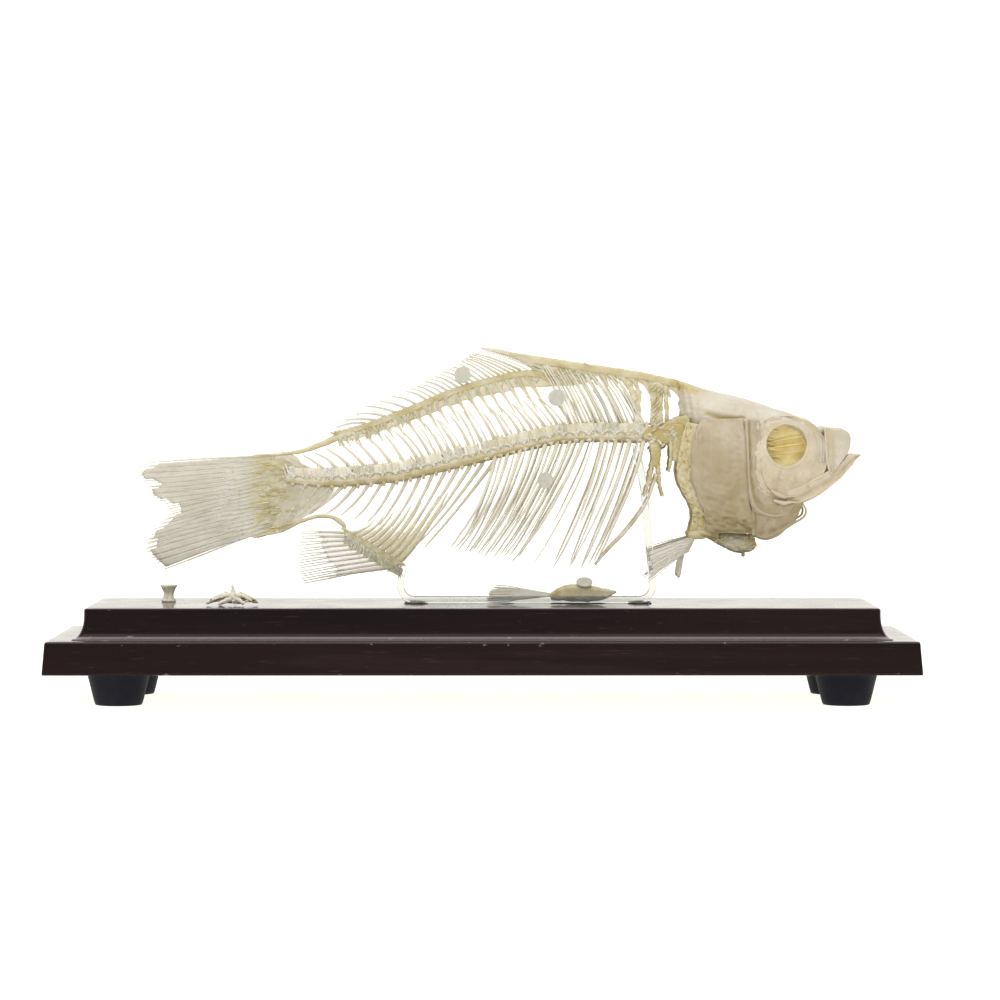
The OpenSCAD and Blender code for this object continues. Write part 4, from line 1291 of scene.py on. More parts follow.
def make_eye_sockets():
    """A thin dished wall behind each opening, with the bars that cross it. Its yellow is the
    bone's own, brightened as painted light through the thin wall.
    """
    shape = Shape()
    rings, sides, reach = 12, 48, 10.6
    for side in (-1, 1):
        points, stains = [], []
        for i in range(rings):
            r = reach * i / (rings - 1)
            for j in range(sides):
                a = 2 * math.pi * j / sides
                x, z = ORBIT[0] + 1.12 * r * math.cos(a), ORBIT[1] + r * math.sin(a)
                deep = 2.6 * (1 - (r / reach) ** 2)
                fold = 0.35 * math.sin(1.5 * (z - 0.18 * x)) + 0.5 * noise.noise(
                    Vector((x, z, side)) / 2.5)
                y = -(head_w(x) - 1.9 - deep) + fold
                streak = 0.4 * bump_at(z - 0.16 * (x - 124), 105.2, 0.8) * (x < 131)
                points.append((x, -side * y, z))
                stains.append(0.15 + 0.5 * cloudy(x, z, 3, 5) + streak)
        points = np.array(points)
        depth = np.array([0, 0.35 * side, 0])
        m = len(points)
        faces = []
        for i in range(rings - 1):
            for j in range(sides):
                k = (j + 1) % sides
                q = (i * sides + j, i * sides + k, (i + 1) * sides + k, (i + 1) * sides + j)
                faces += [q, tuple(v + m for v in reversed(q))]
        for j in range(sides):
            k = (j + 1) % sides
            last = (rings - 1) * sides
            faces.append((last + j, last + k, last + k + m, last + j + m))
        shape.add(np.vstack([points, points - depth]), faces, np.array(stains * 2))
        for low, high, thick in ((106.0, 108.6, 0.26), (103.9, 105.6, 0.34), (101.6, 102.2, 0.22)):
            line = [(116.0, (head_w(116) - 2.6) * side, low - 0.6),
                    (122, (head_w(122) - 3.6) * side, (low + high) / 2 - 0.4),
                    (131.6, (head_w(131) - 2.6) * side, high)]
            loft(shape, line, [(thick, 0.4), (thick * 0.8, 0.35), (thick * 0.7, 0.35)], 10, 36,
                 stain_and_plinth_highlight=0.0)
        for x, z in ((116.4, 107.4), (116.9, 105.4), (117.6, 103.2), (118.4, 110.8), (118.6, 100)):
            w = head_w(x) - 1.6
            loft(shape, [(x - 1, w * side, z + 0.6), (x + 1.2, (w - 1.2) * side, z),
                         (x + 3.4, (w - 2.2) * side, z - 0.4)],
                 [(0.6, 0.5), (0.5, 0.4), (0.2, 0.2)], 8, 16, stain_and_plinth_highlight=random.uniform(0, 0.9))
    shape.roughen(1.6, 0.16)
    shape.piece("Eye_Sockets", SOCKET_PAINTED_LIGHT, "bone")


def superellipse(angle, power):
    c, s = math.cos(angle), math.sin(angle)
    return (math.copysign(abs(c) ** power, c), math.copysign(abs(s) ** power, s))


BRAINCASE = (
    # along, top, bottom, half width
    (80.4, 130.8, 114.0, 2.0), (82, 130.6, 112.8, 6.0), (85, 129.8, 110.4, 11.0),
    (90, 128.1, 106.5, 14.6), (97, 126.2, 103.2, 16.7), (105, 124.5, 102.0, 16.9),
    (112, 122.4, 102.4, 16.0), (116.5, 120.9, 106.0, 14.8), (120, 119.6, 112.6, 14.0),
    (125, 118.2, 111.6, 12.8), (130, 116.3, 109.3, 11.2), (134, 115.0, 102.0, 9.8),
    (137, 112.4, 98.2, 8.4), (139.4, 110.8, 97.6, 7.4), (142.2, 110.3, 99.0, 5.0),
)


def skull_push(x, y, z, wide, crown, low):
    """How far the skull's surface stands out or in at a place, and its stain."""
    ridge = 0.7 * bump_at(y, 0, 0.9) * crown
    seam = -0.3 * bump_at(x, 117 + 0.12 * abs(y), 0.4) * crown
    canal = 0.5 * bump_at(abs(y), 0.6 * wide, 0.6) * crown
    slit_z = np.interp(x, [92, 98, 104, 107.5], [117.8, 115.9, 115.1, 116.4])
    slit_h = np.interp(x, [90, 95, 102, 105, 108], [0.5, 1.0, 1.2, 0.9, 0.4])
    inside = 1.0 if 92 < x < 106 else math.exp(-(min(abs(x - 92), abs(x - 106)) / 1.4) ** 2)
    slit = bump_at(z, slit_z, slit_h) * inside
    brow = 0.5 * bump_at(z, slit_z + 2.4, 1.3) * inside
    rear = 0.5 * math.sin(2.3 * x + 0.4 * z) * bump_at(x, 84, 4.5) * (1 - crown)
    streak = 0.14 * math.sin(3.1 * z + 0.5 * x) * (1 - crown)
    lumps = 0.9 * noise.noise(Vector((x, y, z)) / 4.5) + 0.5 * noise.noise(Vector((x, y, z)) / 1.5)
    push = ridge + seam + canal + brow + rear + streak + lumps * 0.6 - 1.3 * slit
    top = np.interp(x, [80, 85, 90, 97], [131, 129.8, 128, 126])
    grease = 0.85 * bump_at(z, top - 1.6, 2.4) * bump_at(x, 82, 8)
    mottle = 0.5 * max(0, noise.noise(Vector((x, y, z)) / 1.7)) * bump_at(x, 84, 7)
    stain_and_plinth_highlight = 0.06 + 0.35 * low ** 2 + 0.2 * max(0, lumps) + 1.2 * slit + grease + mottle
    return push, stain_and_plinth_highlight


def make_braincase():
    rows = smooth_line([list(row) for row in BRAINCASE], 150)
    sides = 96
    points, stains = [], []
    for x, top, bottom, wide in rows:
        mid, half = (top + bottom) / 2, (top - bottom) / 2
        ragged = bump_at(x, 80.4, 2.2)
        for j in range(sides):
            c, s = superellipse(2 * math.pi * j / sides, 0.9)
            y, z = wide * s, mid + half * c
            push, value = skull_push(x, y, z, wide, max(0.0, c) ** 2, max(0.0, -c))
            along = x + 1.1 * ragged * (0.6 + noise.noise(Vector((z, y, 4)) / 2.2))
            points.append((along, y + push * s, z + min(push, 0.5) * 0.5 * c))
            stains.append(value)
    faces = []
    n = len(rows)
    for i in range(n - 1):
        for j in range(sides):
            k = (j + 1) % sides
            faces.append((i * sides + j, (i + 1) * sides + j, (i + 1) * sides + k,
                          i * sides + k))
    faces.append(tuple(range(sides)))
    faces.append(tuple((n - 1) * sides + j for j in range(sides - 1, -1, -1)))
    shape = Shape()
    shape.add(points, faces, stains)
    loft(shape, [(112, 0, 106.5), (118, 0, 106.8), (126, 0, 106.4), (135, 0, 105)],
         [(5, 1.6), (7.4, 0.9), (6.8, 0.8), (4, 1.6)], 16, 40, blade_section, stain_and_plinth_highlight=0.8)
    for side in (-1, 1):
        # the pair of bones that end the snout
        loft(shape, [(137.4, 6.4 * side, 110.6), (139.6, 5.6 * side, 111.2),
                     (141.8, 4.4 * side, 111.0)],
             [(0.9, 1.2), (1.4, 1.4), (1.0, 1.2)], 12, 18, stain_and_plinth_highlight=0.1)
        for i in range(6):
            x = 136.2 + 1.2 * i
            loft(shape, [(x, (head_w(x) - 0.4) * side, 109 - 0.4 * i),
                         (x + 0.3, (head_w(x) + 0.1) * side, 103),
                         (x, (head_w(x) - 0.2) * side, 97.6)],
                 [(0.5, 0.3), (0.8, 0.35), (0.5, 0.3)], 8, 24, stain_and_plinth_highlight=0.06 + 0.16 * (i % 2))
    shape.piece("Braincase", SKULL, "bone", ["braincase", "snout_bone"])


def jaw_relief(x, z, u, v):
    groove = -0.7 * bump_at(v, 0.14, 0.05) - 0.6 * bump_at(v, 0.34, 0.05)
    swell = 0.9 * bump_at(v, 0.72, 0.25)
    return groove + swell + 0.5 * noise.noise(Vector((x, z, 1)) / 2.6)


def lower_jaw_relief(x, z, u, v):
    rim = 0.5 * bump_at(v, 0.06, 0.06) + 0.9 * bump_at(v, 0.93, 0.08)
    trough = -0.7 * bump_at(v, 0.62, 0.16)
    pores = -0.3 * max(0, math.sin(30 * u)) ** 6 * bump_at(v, 0.62, 0.14)
    return rim + trough + pores + 0.4 * noise.noise(Vector((x, z, 8)) / 2.6)


def make_jaws():
    rear = [(140.2, 112.2), (140.4, 106), (140.8, 100), (141.6, 95.6), (143.4, 92)]
    front = [(147.6, 111.8), (150.8, 109.4), (151.2, 104.6), (149.4, 100.4), (146.2, 96.4)]
    upper = [(124.6, 86), (130, 88), (136.4, 91.4), (141.6, 94.2), (145.8, 96.6),
             (148.6, 98.8), (150.2, 100.8), (153, 101.3), (155.6, 101)]
    lower = [(124.8, 81), (129.6, 80.8), (134.2, 82.2), (138.6, 84.6), (142.8, 87.6),
             (146.8, 90.8), (150.8, 95), (153.8, 98.6), (155.8, 100.6)]
    for side, word in ((-1, "Right"), (1, "Left")):
        shape = Shape()
        patch(shape, rear, front, side, 1.6, 0.5, jaw_relief,
              lambda x, z, u, v: 0.05 + 0.42 * bump_at(v, 0.24, 0.14), 48, 34)
        shape.roughen(2.0, 0.12)
        shape.piece(f"Upper_Jaw_{word}", SKULL, "bone", [f"upper_jaw_{word.lower()}"])
        shape = Shape()
        patch(shape, upper, lower, side, 1.3, -0.4, lower_jaw_relief,
              lambda x, z, u, v: 0.1 + 0.3 * bump_at(v, 0.6, 0.2) + 0.2 * bump_at(v, 1, 0.1),
              80, 26)
        for i in range(9):
            x = 151.2 - 1.1 * i
            z = float(np.interp(x, [142, 146, 150.4], [94.4, 96.8, 100.6]))
            tooth = [(x, flank_y(x, z) + 0.4, z - 0.4), (x + 0.1, flank_y(x, z) + 0.5, z + 0.4)]
            loft(shape, mirrored(tooth, side), [(0.3, 0.3), (0.12, 0.12)], 6, 5, stain_and_plinth_highlight=0.0)
        shape.roughen(2.5, 0.12)
        shape.piece(f"Lower_Jaw_{word}", CHEEK, "bone", [f"lower_jaw_{word.lower()}"])


def make_inner_cheeks():
    """Bones that close the head's side behind the outer plates."""
    shape = Shape()
    top = [(106, 98), (116, 96.4), (126, 96.6), (136, 98.6), (143, 100)]
    low = [(106, 72.6), (116, 76), (126, 81.4), (135, 84.4), (144.4, 91)]
    for side in (-1, 1):
        patch(shape, top, low, side, 0.8, -1.9, cheek_relief, cheek_stain, 60, 30)
    shape.roughen(3.0, 0.3)
    shape.piece("Inner_Cheek_Bones", CHEEK, "bone")


def make_throat():
    shape = Shape()
    for line, sizes in cad_bones("throat_bones", 6):
        loft(shape, line, sizes * [0.7, 0.8], 12, 26, blade_section, stain_and_plinth_highlight=0.5)
    lump = [(92.6, 0, 67.4), (96, 0, 66.6), (100, 0, 65.6), (104.4, 0, 64.6), (108.4, 0, 64.4),
            (111, 0, 64.6), (112.4, 0, 65.2)]
    loft(shape, lump, [(0.9, 5), (1.9, 6.4), (3.0, 7.4), (3.9, 7.6), (3.8, 7), (3.0, 5.4),
                       (1.4, 3.4)], 48, 90, slab_section,
         stain_and_plinth_highlight=lambda t: 0.35 + 0.3 * math.sin(9 * t))
    for side in (-1, 1):
        for _ in range(26):
            x = random.uniform(95, 111.5)
            depth = np.interp(x, [95, 100, 105, 109, 112], [65.6, 63.2, 61.4, 61.2, 62.6])
            z = random.uniform(depth + 0.6, 67.5)
            size = random.uniform(0.4, 1.0)
            y = (7.3 - 0.1 * abs(x - 103) - 0.05 * (67 - z) ** 2) * side
            turn = random.uniform(-0.8, 0.5)
            loft(shape, [(x - 1.5, y, z + turn), (x, y * 1.03, z), (x + 1.5, y, z - turn)],
                 [(size * 0.6, 0.6), (size * 0.8, 0.8), (size * 0.5, 0.5)], 10, 14,
                 stain_and_plinth_highlight=random.uniform(0.0, 1.0))
        loft(shape, [(107.2, 2 * side, 62.0), (107.4, 2 * side, 60.4), (107.4, 2 * side, 58.6)],
             [(1.1, 0.8), (0.7, 0.6), (0.4, 0.4)], 8, 12, stain_and_plinth_highlight=0.4)
    shape.roughen(1.3, 0.42)
    shape.piece("Throat_Bones", OLIVE, "bone_olive", ["throat_bones"])


def shoulder_relief(x, z, u, v):
    fold = 0.4 * bump_at(v, 0.6, 0.12) - 0.3 * bump_at(v, 0.35, 0.1)
    pits = -1.3 * max(0.0, noise.noise(Vector((x, z, 9)) / 0.9) - 0.05)
    return fold + 0.6 * noise.noise(Vector((x, z, 3)) / 1.9) + pits


def make_shoulders():
    rear = [(83.4, 114.6), (81.6, 108), (80.4, 102), (79.6, 97), (79.4, 92.6), (80.8, 88),
            (83.0, 83.6), (85.2, 79.6), (85.8, 76), (85.4, 72), (84.0, 67.4)]
    front = [(90, 113), (88.8, 105), (88.2, 98), (87.8, 94), (88.4, 90), (89.8, 85),
             (91.4, 80), (92.4, 76.4), (92.8, 73.6), (93.4, 71), (93.6, 67.6)]
    for side, word in ((-1, "Right"), (1, "Left")):
        shape = Shape()
        patch(shape, rear, front, side, 1.0, -1.4, shoulder_relief,
              lambda x, z, u, v: (0.55 + 1.0 * max(0, noise.noise(Vector((x, z, 9)) / 0.9))
                                  + 0.7 * max(0.0, u - 0.55)), 120, 34)
        foot = [(84, -12.6, 68.4), (88, -12, 68.2), (93, -9, 68.6), (97, -6, 68)]
        loft(shape, mirrored(foot, side), [(1.2, 1), (1.8, 1.2), (1.8, 1.6), (1.0, 1.2)], 12,
             26, stain_and_plinth_highlight=0.6)
        shape.roughen(2.2, 0.3)
        shape.piece(f"Shoulder_Blade_{word}", OLIVE, "bone_olive",
                    [f"shoulder_blade_{word.lower()}"])


make_gill_covers()
make_lower_gill_covers()
make_gill_ridges()
make_cheeks()
make_inner_cheeks()
make_eye_sockets()
make_braincase()
make_jaws()
make_throat()
make_shoulders()


# ---------------------------------------------------------------- neck and nape

def make_neck():
    """The first vertebrae, grown together, with struts above and prongs below."""
    x0 = box_mm("neck_vertebrae")[0][0] + 0.2
    z = box_mm("trunk_vertebrae")[1][2] - 2.6
    shape = Shape()
    for i in range(5):
        x = x0 + 0.6 + i * 3.3
        centrum(shape, np.array([(x, 0, z), (x + 1.6, 0, z), (x + 3.1, 0, z)]),
                np.array([(3.0, 3.0), (2.0, 2.0), (3.0, 3.0)]), True)
    for side in (-1, 1):
        wings = (
            # side wing over the centra, and the mass towards the skull
            ([(x0 + 1, 2 * side, z + 1), (x0 + 7, 5 * side, z), (x0 + 18.4, 11 * side, z + 1.6)],
             [(2.0, 1.2), (3.4, 1.4), (4.2, 1.6)], 1.0),
            ([(x0 + 9, 4 * side, z + 3.4), (x0 + 14, 7 * side, z + 5),
              (x0 + 19.6, 11 * side, z + 6)], [(1.2, 1.0), (2.2, 1.2), (2.8, 1.4)], 0.6),
            ([(x0 + 16.6, 9 * side, z + 1), (x0 + 15.6, 10.4 * side, z - 5),
              (x0 + 14.8, 12 * side, z - 11)], [(3.2, 1.2), (3.0, 1.4), (2.6, 1.2)], 0.9),
            ([(x0 + 12.4, 8 * side, z - 1), (x0 + 12.0, 10 * side, z - 7.4),
              (x0 + 11, 11.6 * side, z - 14.8)], [(1.6, 0.9), (0.8, 0.7), (0.4, 0.4)], 0.7),
            # the forked leg under the front centra
            ([(x0 + 6.0, 3 * side, z + 1), (x0 + 5.8, 5 * side, z - 6),
              (x0 + 5.8, 6.4 * side, z - 13)],
             [(3.0, 1.4), (2.2, 1.2), (1.6, 1.0)], 1.0),
            ([(x0 + 4.6, 6 * side, z - 10), (x0 + 3, 6.6 * side, z - 18),
              (x0 + 0.8, 7 * side, z - 25)],
             [(0.8, 0.8), (0.8, 0.7), (0.4, 0.35)], 0.5),
            ([(x0 + 6.8, 6 * side, z - 10), (x0 + 7, 7 * side, z - 18),
              (x0 + 8.6, 7.6 * side, z - 25.4)],
             [(0.8, 0.8), (0.7, 0.7), (0.3, 0.3)], 0.5),
        )
        for line, sizes, value in wings:
            loft(shape, line, sizes, 18, 46, slab_section, stain_and_plinth_highlight=value)
        for _ in range(34):
            x = x0 + random.uniform(3, 18)
            zc = z + random.uniform(-5, 5)
            turn = random.uniform(-1.6, 1.6)
            y = np.interp(x, [x0, x0 + 7, x0 + 18], [3.2, 6.4, 12.2]) * side
            loft(shape, [(x - 1.4, y * 0.94, zc - turn), (x, y * 1.02, zc),
                         (x + 1.4, y * 1.03, zc + turn)],
                 [(0.3, 0.3), (0.55, 0.5), (0.25, 0.25)], 8, 14, stain_and_plinth_highlight=random.uniform(0.0, 1.0))
    shape.roughen(1.3, 0.5)
    shape.piece("Neck_Vertebrae", OLIVE, "bone_olive", ["neck_vertebrae"])
    struts = Shape()
    columns = (
        # foot, head, half width
        ((x0 + 6.4, z + 3), (x0 + 6.2, z + 22), 2.7), ((x0 - 1.6, z + 3), (x0 - 1.4, z + 19), 1.3),
        ((x0 - 2.2, z + 14), (x0 - 5.4, z + 22), 1.2),
        ((x0 + 10.6, z + 5), (x0 + 10.0, z + 20.6), 0.8),
    )
    for (xa, za), (xb, zb), half in columns:
        for side in (-1, 1):
            loft(struts, [(xa, 1.6 * side, za), ((xa + xb) / 2, 1.1 * side, (za + zb) / 2),
                          (xb, 0.7 * side, zb)],
                 [(half * 1.1, 0.7), (half * 0.9, 0.6), (half * 1.25, 0.5)], 16, 40,
                 slab_section, stain_and_plinth_highlight=lambda t: 0.35 + 0.3 * math.sin(17 * t))
    for i in range(16):
        zc = z + 4 + 1.1 * i
        shift = random.uniform(-1.6, 1.6)
        loft(struts, [(x0 + 5 + shift, -1.9, zc - 1.4), (x0 + 6.2 + 0.6 * shift, -2.2, zc),
                      (x0 + 7.4 + shift, -1.7, zc + 1.2)],
             [(0.2, 0.3), (0.35, 0.4), (0.2, 0.3)], 8, 14, stain_and_plinth_highlight=0.1 + 0.5 * (i % 2))
    struts.roughen(1.3, 0.4)
    struts.piece("Neck_Struts", OLIVE, "bone_olive")


def nape_z(x):
    return np.interp(x, [22, 36, 46, 65, 85], [141.6, 139.4, 137.9, 135, 130.6])


def make_nape():
    """The thick ridge over the neck, the wedge behind it and the plates that hang from it."""
    shape = Shape()
    ridge = [(5.0, 0, 143.2), (13.0, 0, 141.7)]
    ridge += [(x, 0, nape_z(x) - 1.8) for x in np.linspace(21, 84, 15)]
    sizes = [(0.4, 0.5), (1.1, 1.1)] + [(1.75, 1.2)] * 14 + [(1.0, 0.7)]
    loft(shape, ridge, sizes, 14, 150, channel_section,
         stain_and_plinth_highlight=lambda t: 0.45 + 0.3 * t + 0.2 * math.sin(34 * t))
    wedge = [(22.5, 139.4), (28, 139.6), (34, 138.6), (42, 137.2), (47, 134.4), (44, 131.0),
             (38, 129.4), (32, 129.2), (27, 130.4), (23, 133), (21.5, 136.4)]
    sheet(shape, wedge, 0.5, 0.7, stain_and_plinth_highlight=lambda x, z: 0.5 * cloudy(x, z, 2))
    for _ in range(70):
        x = random.uniform(20, 45)
        z = random.uniform(131, 137.6)
        y = random.choice((-0.8, 0.8))
        half = random.uniform(0.2, 0.5)
        loft(shape, [(x - 2.4, y * 0.8, z + 1.2), (x, y * 1.2, z), (x + 2.4, y * 0.8, z - 0.9)],
             [(half * 0.6, 0.3), (half, 0.4), (half * 0.5, 0.3)], 8, 12,
             stain_and_plinth_highlight=random.uniform(0.0, 0.8))
    for i in range(12):
        x = 30 + 4.3 * i
        deep = 6.5 if i < 3 else 9
        top = np.array([x, 0, nape_z(x) - 2.2])
        tip = np.array([x + deep * 0.5, 0, nape_z(x) - deep])
        loft(shape, [top, (top + tip) / 2 + [0.4, 0, 0.6], tip],
             [(2.0, 0.8), (1.2, 0.6), (0.4, 0.3)], 14, 26, blade_section,
             stain_and_plinth_highlight=lambda t: 0.5 - 0.45 * t)
    shape.roughen(1.8, 0.22)
    shape.piece("Nape_Bones", OLIVE, "bone_olive", ["nape_bones"])


def make_fine_bones():
    """Hair-thin bones beside the spines, and a dense mesh of them at the nape."""
    shape = Shape()
    spines = [line for line, _ in cad_bones("neural_spines", 4)]
    for line in spines:
        if not -26 < line[0][0] < 34:
            continue
        for side in (-1, 1):
            wide = random.uniform(0.8, 2.2) * side
            root = line[0] + [random.uniform(1.4, 3.0), 0.6 * side, random.uniform(0, 2)]
            tip = line[-1] + [random.uniform(0.5, 2.5), wide * 0.5, random.uniform(-1, 3)]
            mid = (root + tip) / 2 + [0.6, wide, 0.8]
            loft(shape, [root, mid, tip], [(0.34, 0.3), (0.28, 0.24), (0.14, 0.12)], 6, 16,
                 stain_and_plinth_highlight=0.15)
    low_z = box_mm("trunk_vertebrae")[1][2] + 0.4
    mesh_front, mesh_rear, lean = 68.0, 36.0, 13.0
    for i in range(21):
        x = mesh_rear + (mesh_front - mesh_rear) * i / 20
        for side in (-1, 1):
            shift = random.uniform(-0.5, 0.5)
            root = np.array([x + shift, 1.5 * side, low_z + random.uniform(-0.6, 0.6)])
            top = x - lean + shift
            tip = np.array([top, 0.7 * side, nape_z(top) - 3.0])
            mid = (root + tip) / 2 + [random.uniform(-0.4, 1.2), 1.0 * side, 0.8]
            half = random.uniform(0.22, 0.42)
            loft(shape, [root, mid, tip], [(half, 0.34), (half, 0.3), (half * 0.7, 0.2)], 7, 20,
                 stain_and_plinth_highlight=random.uniform(0.05, 0.35))
    for side in (-1, 1):
        # a free-standing fin bone under the front fin, and the long one behind the neck leg
        y = 9.4 * side
        loft(shape, [(84.4, y, 65.0), (82.2, y, 60.4), (81.0, y, 55), (80.3, y, 50.4)],
             [(1.0, 0.8), (0.8, 0.7), (0.9, 0.7), (0.75, 0.6)], 10, 30, stain_and_plinth_highlight=0.25)
        y = 7.4 * side
        rod = [(71.6, y, 93), (69.8, y, 88), (68.2, y, 83.4), (65, y, 77.6), (58.8, y, 69.5),
               (52, y, 62.4), (46, y, 55.2)]
        loft(shape, rod, [(0.7, 0.6), (0.6, 0.55), (0.55, 0.5), (0.6, 0.55), (0.6, 0.55),
                          (0.5, 0.45), (0.25, 0.25)], 10, 60,
             stain_and_plinth_highlight=lambda t: 0.3 + 0.6 * max(0, math.sin(24 * t)) ** 3)
    shape.roughen(1.6, 0.12)
    shape.piece("Fine_Bones", BONE, "bone")


make_neck()
make_nape()
make_fine_bones()


# ---------------------------------------------------------------- dry skin at the tail

def make_tail_skin():
    shape = Shape()
    sheet(shape, [(-84, 100.8), (-77, 100.2), (-74, 96.5), (-69, 93), (-62, 89),
                  (-62, 85), (-66, 80.6), (-72, 76), (-78, 72), (-84, 69.2), (-86, 84)],
          0.5, 0.5)
    shape.piece("Tail_Skin", SKIN, "fin_ray")
    bands = Shape()
    loft(bands, [(-93, 0, 100.6), (-82, 0, 101.1), (-74, 0, 102.4), (-66, 0, 105.2),
                 (-58, 0, 108.6), (-52, 0, 110.2)],
         [(0.4, 0.8), (0.6, 0.8), (0.9, 0.8), (1.25, 0.9), (1.3, 0.9), (0.9, 0.6)], 12, 50,
         stain_and_plinth_highlight=0.5)
    loft(bands, [(-93, 0, 67.2), (-83, 0, 69.2), (-75, 0, 73.2), (-68, 0, 75.4),
                 (-62, 0, 75), (-58, 0, 72.6), (-56.6, 0, 70)],
         [(0.3, 0.8), (0.5, 0.7), (0.7, 0.7), (0.8, 0.7), (0.8, 0.8), (1.1, 0.8), (0.7, 0.5)],
         10, 50, stain_and_plinth_highlight=0.5)
    bands.roughen(1.6, 0.2)
    bands.piece("Edge_Bands", OLIVE, "bone_olive")


make_tail_skin()


# ---------------------------------------------------------------- loose bones and labels

def make_loose_bones():
    low, high = box_mm("loose_vertebra")
    centre = np.array([(low[0] + high[0]) / 2, (low[1] + high[1]) / 2, low[2]])
    shape = Shape()
    profile = [(0.3, 0.7), (1.6, 0.35), (2.4, 0.0), (2.75, 0.2), (2.7, 0.7), (2.0, 1.7),
               (1.5, 2.7), (1.35, 3.3), (1.5, 4.1), (2.2, 5.2), (3.1, 6.3), (3.3, 6.8),
               (3.1, 7.1), (2.0, 6.4), (0.3, 5.2)]
    lathe(shape, centre, [(1.1 * r, z) for r, z in profile], 40, 0.1)
    for i in range(6):
        a = math.radians(60 * i + 15)
        out = np.array([math.cos(a), math.sin(a), 0])
        line = [centre + out * 2.3 + [0, 0, 0.9], centre + out * 1.75 + [0, 0, 3.4],
                centre + out * 3.0 + [0, 0, 6.2]]
        loft(shape, line, [(0.3, 0.3), (0.35, 0.35), (0.3, 0.3)], 6, 12, stain_and_plinth_highlight=0.1)
    shape.roughen(1.2, 0.15)
    shape.piece("Loose_Vertebra", COLUMN, "bone", ["loose_vertebra"])

    low, high = box_mm("loose_neck_bone")
    hub = np.array([-102.0, -18.0, TOP_Z + 3.0])
    shape = Shape()
    centrum(shape, np.array([hub + [0, 2.4, 0.2], hub, hub - [0, 2.4, -0.2]])
            + np.array([0.01, 0, 0]), np.array([(2.8, 2.8), (2.0, 2.0), (2.8, 2.8)]), False)
    arms = (
        # reach of an arm's middle and tip, and half width at its root, middle and tip
        ((0.2, 0.6, 2.6), (-0.2, 0.3, 5.4), 1.9, 1.0, 0.35),
        ((-5.0, -0.4, 0.3), (-11.0, -1.0, -2.2), 1.8, 1.5, 0.6),
        ((5.0, 1.0, 0.3), (10.4, 2.0, -2.1), 1.8, 1.5, 0.6),
        ((-3.0, 3.0, -0.8), (-6.0, 6.0, -2.2), 1.4, 1.0, 0.6),
        ((2.6, -3.0, -0.8), (5.0, -6.0, -2.2), 1.4, 1.1, 0.6),
        ((-2.6, -3.0, -0.9), (-5.6, -5.6, -2.3), 1.4, 1.1, 0.6),
        ((-3.4, -2.6, 1.0), (-8.6, -4.2, -1.0), 1.2, 0.9, 0.3),
        ((3.6, -2.6, 1.0), (8.4, -4.2, -1.2), 1.2, 0.9, 0.3),
        ((-1.8, 0.4, 1.6), (-3.6, 0.6, 2.8), 1.2, 0.7, 0.3),
        ((1.8, 0.4, 1.4), (3.8, 0.6, 2.4), 1.2, 0.7, 0.3),
    )
    for middle, tip, *sizes in arms:
        loft(shape, [hub, hub + middle, hub + tip], [(s, 0.8 * s + 0.1) for s in sizes], 10, 18,
             blade_section, stain_and_plinth_highlight=0.3)
    for _ in range(26):
        x, y = random.uniform(-9, 9), random.uniform(-3.4, 1)
        z = random.uniform(-2.4, 1.2) * (1 - abs(x) / 12)
        loft(shape, [hub + [x - 0.9, y, z - 0.4], hub + [x, y - 0.3, z],
                     hub + [x + 0.9, y, z - 0.5]],
             [(0.3, 0.3), (0.55, 0.5), (0.3, 0.3)], 7, 8, stain_and_plinth_highlight=random.uniform(0.1, 0.9))
    shape.roughen(1.6, 0.25)
    shape.piece("Loose_Neck_Bone", BONE, "bone", ["loose_neck_bone"])

    line, sizes = cad_bones("loose_hip_bone", 8)[0]
    if line[0][0] > line[-1][0]:
        line, sizes = line[::-1], sizes[::-1]
    shape = Shape()
    loft(shape, line, sizes, 16, 50, channel_section, stain_and_plinth_highlight=lambda t: 0.9 - 0.7 * t)
    shape.roughen(2.4, 0.5)
    shape.piece("Loose_Hip_Bone", OLIVE, "bone_olive", ["loose_hip_bone"])


def make_labels():
    """Blank paper discs, slightly cockled."""
    places = (
        ((-8.2, -1.6, 133.6), (90, 0, 0)),
        ((30.4, -2.6, 124.3), (90, 0, 0)),
        ((25.7, -18.6, 90.6), (90, 0, -28)),
        ((42, 0.6, 48.2), (32, 0, 0)),
    )
    shape = Shape()
    for spot, turn in places:
        spin = Euler([math.radians(a) for a in turn]).to_matrix()
        points, rings, sides, radius = [], 10, 48, 3.4
        for face in (0.2, -0.2):
            for i in range(rings + 1):
                r = radius * (i / rings)
                for j in range(sides):
                    a = 2 * math.pi * j / sides
                    x, y = r * math.cos(a), r * math.sin(a)
                    lift = 0.12 * noise.noise(Vector((x, y, spot[0])) / 2.5) * (r / radius)
                    round_off = 0.08 * max(0, r - 3.2) / 0.2
                    z = face * (1 - round_off * 2) + lift
                    points.append(np.array(spin @ Vector((x, y, z))) + spot)
        m = (rings + 1) * sides
        faces = []
        for i in range(rings):
            for j in range(sides):
                k = (j + 1) % sides
                q = (i * sides + j, (i + 1) * sides + j, (i + 1) * sides + k, i * sides + k)
                faces += [q, tuple(v + m for v in reversed(q))]
        for j in range(sides):
            k = (j + 1) % sides
            last = rings * sides
            faces.append((last + k, last + j, last + j + m, last + k + m))
        shape.add(points, faces)
    shape.piece("Label_Dots", PAPER, "label_paper", ["label_dots"], sharp=60)


make_loose_bones()
make_labels()


# ---------------------------------------------------------------- floor, light and camera

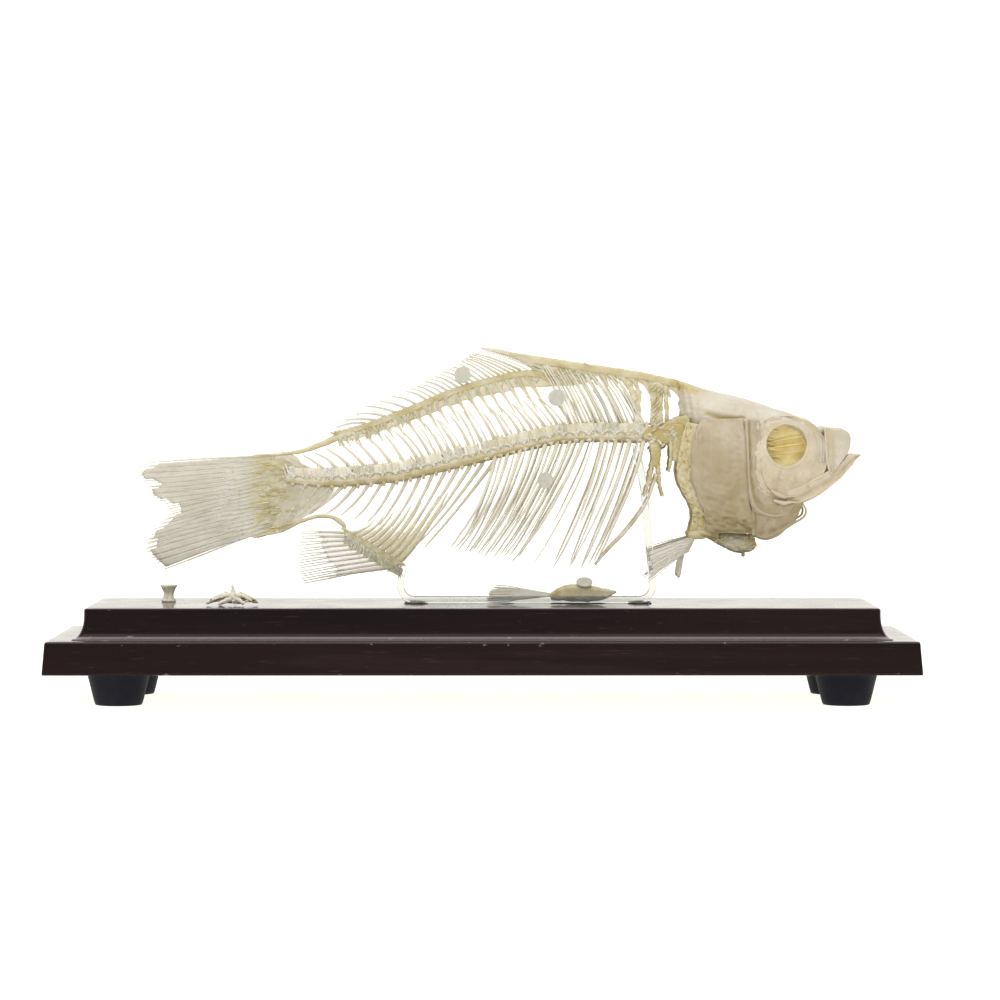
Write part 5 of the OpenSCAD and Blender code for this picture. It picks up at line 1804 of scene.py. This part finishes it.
def make_stage():
    """A white sweep that glows faintly, like a light table, and soft studio light."""
    look = Look("White_Sweep")
    cloud = look.noise(look.coords, 3.0, 2.0)
    place = look.node("ShaderNodeSeparateXYZ", Vector=look.coords)
    glow = look.level(place.outputs["Y"], -1.3, -0.95, 0.8, 0.9)
    look.set(Base_Color=look.mix(cloud, (0.28, 0.28, 0.28), (0.30, 0.30, 0.30)),
             Roughness=look.level(cloud, 0, 1, 0.8, 0.9),
             Emission_Color=look.ramp(glow, (0.0, (0, 0, 0)), (1.0, (1, 0.965, 0.89))),
             Emission_Strength=1.13)
    mesh = bpy.data.meshes.new("Floor")
    half, depth = 6.0, 5.0
    sweep = [(-5.0, 0.0), (2.0, 0.0)]
    for i in range(1, 13):
        a = math.radians(90 * i / 12)
        sweep.append((2.0 + 1.5 * math.sin(a), 1.5 - 1.5 * math.cos(a)))
    sweep.append((3.5, depth))
    points = [(x, y, z) for y, z in sweep for x in (-half, half)]
    faces = [(2 * i, 2 * i + 1, 2 * i + 3, 2 * i + 2) for i in range(len(sweep) - 1)]
    mesh.from_pydata(points, [], faces)
    mesh.materials.append(look.material)
    mesh.shade_smooth()
    floor = bpy.data.objects.new("Floor", mesh)
    bpy.context.scene.collection.objects.link(floor)

    # a little brighter on the camera's side than behind the fish
    world = bpy.data.worlds.new("Studio")
    world.use_nodes = True
    tree = world.node_tree
    way = tree.nodes.new("ShaderNodeTexCoord")
    parts = tree.nodes.new("ShaderNodeSeparateXYZ")
    level = tree.nodes.new("ShaderNodeMapRange")
    level.inputs["From Min"].default_value = -1.0
    level.inputs["From Max"].default_value = 0.1
    level.inputs["To Min"].default_value = 0.55
    level.inputs["To Max"].default_value = 0.45
    tree.links.new(way.outputs["Generated"], parts.inputs["Vector"])
    tree.links.new(parts.outputs["Y"], level.inputs["Value"])
    tree.links.new(level.outputs["Result"], tree.nodes["Background"].inputs["Strength"])
    tree.nodes["Background"].inputs["Color"].default_value = (1, 1, 1, 1)
    bpy.context.scene.world = world

    lamps = (
        # name, place, aim, size, power, seen in gloss
        ("Overhead", (0.0, 0.0, 1.5), (0, 0, 0.05), 1.6, 16.0, True),
        ("Front_Soft", (-0.5, -1.5, 1.1), (0, 0, 0.08), 1.2, 13.0, False),
        ("Front_Fill", (0.2, -2.6, 0.5), (0, 0, 0.08), 2.4, 20.0, False),
    )
    for name, place, aim, size, power, gloss in lamps:
        data = bpy.data.lights.new(name, "AREA")
        data.size = size
        data.energy = power
        lamp = bpy.data.objects.new(name, data)
        lamp.location = place
        lamp.rotation_euler = (Vector(aim) - Vector(place)).to_track_quat("-Z", "Y").to_euler()
        lamp.visible_glossy = gloss
        bpy.context.scene.collection.objects.link(lamp)


def make_camera():
    """A long lens, level with the plinth's upper edge and a little above it."""
    data = bpy.data.cameras.new("Camera")
    distance, height = 1.821, 0.1299
    look_down, look_right = 1.503, 0.227    # degrees
    data.sensor_width = 36.0
    data.lens = 159.1
    data.clip_end = 100.0
    camera = bpy.data.objects.new("Camera", data)
    camera.location = (0.0, -distance, height)
    camera.rotation_euler = (math.radians(90 - look_down), 0.0, math.radians(-look_right))
    bpy.context.scene.collection.objects.link(camera)
    bpy.context.scene.camera = camera
    bpy.context.scene.view_settings.view_transform = "Standard"


make_stage()
make_camera()
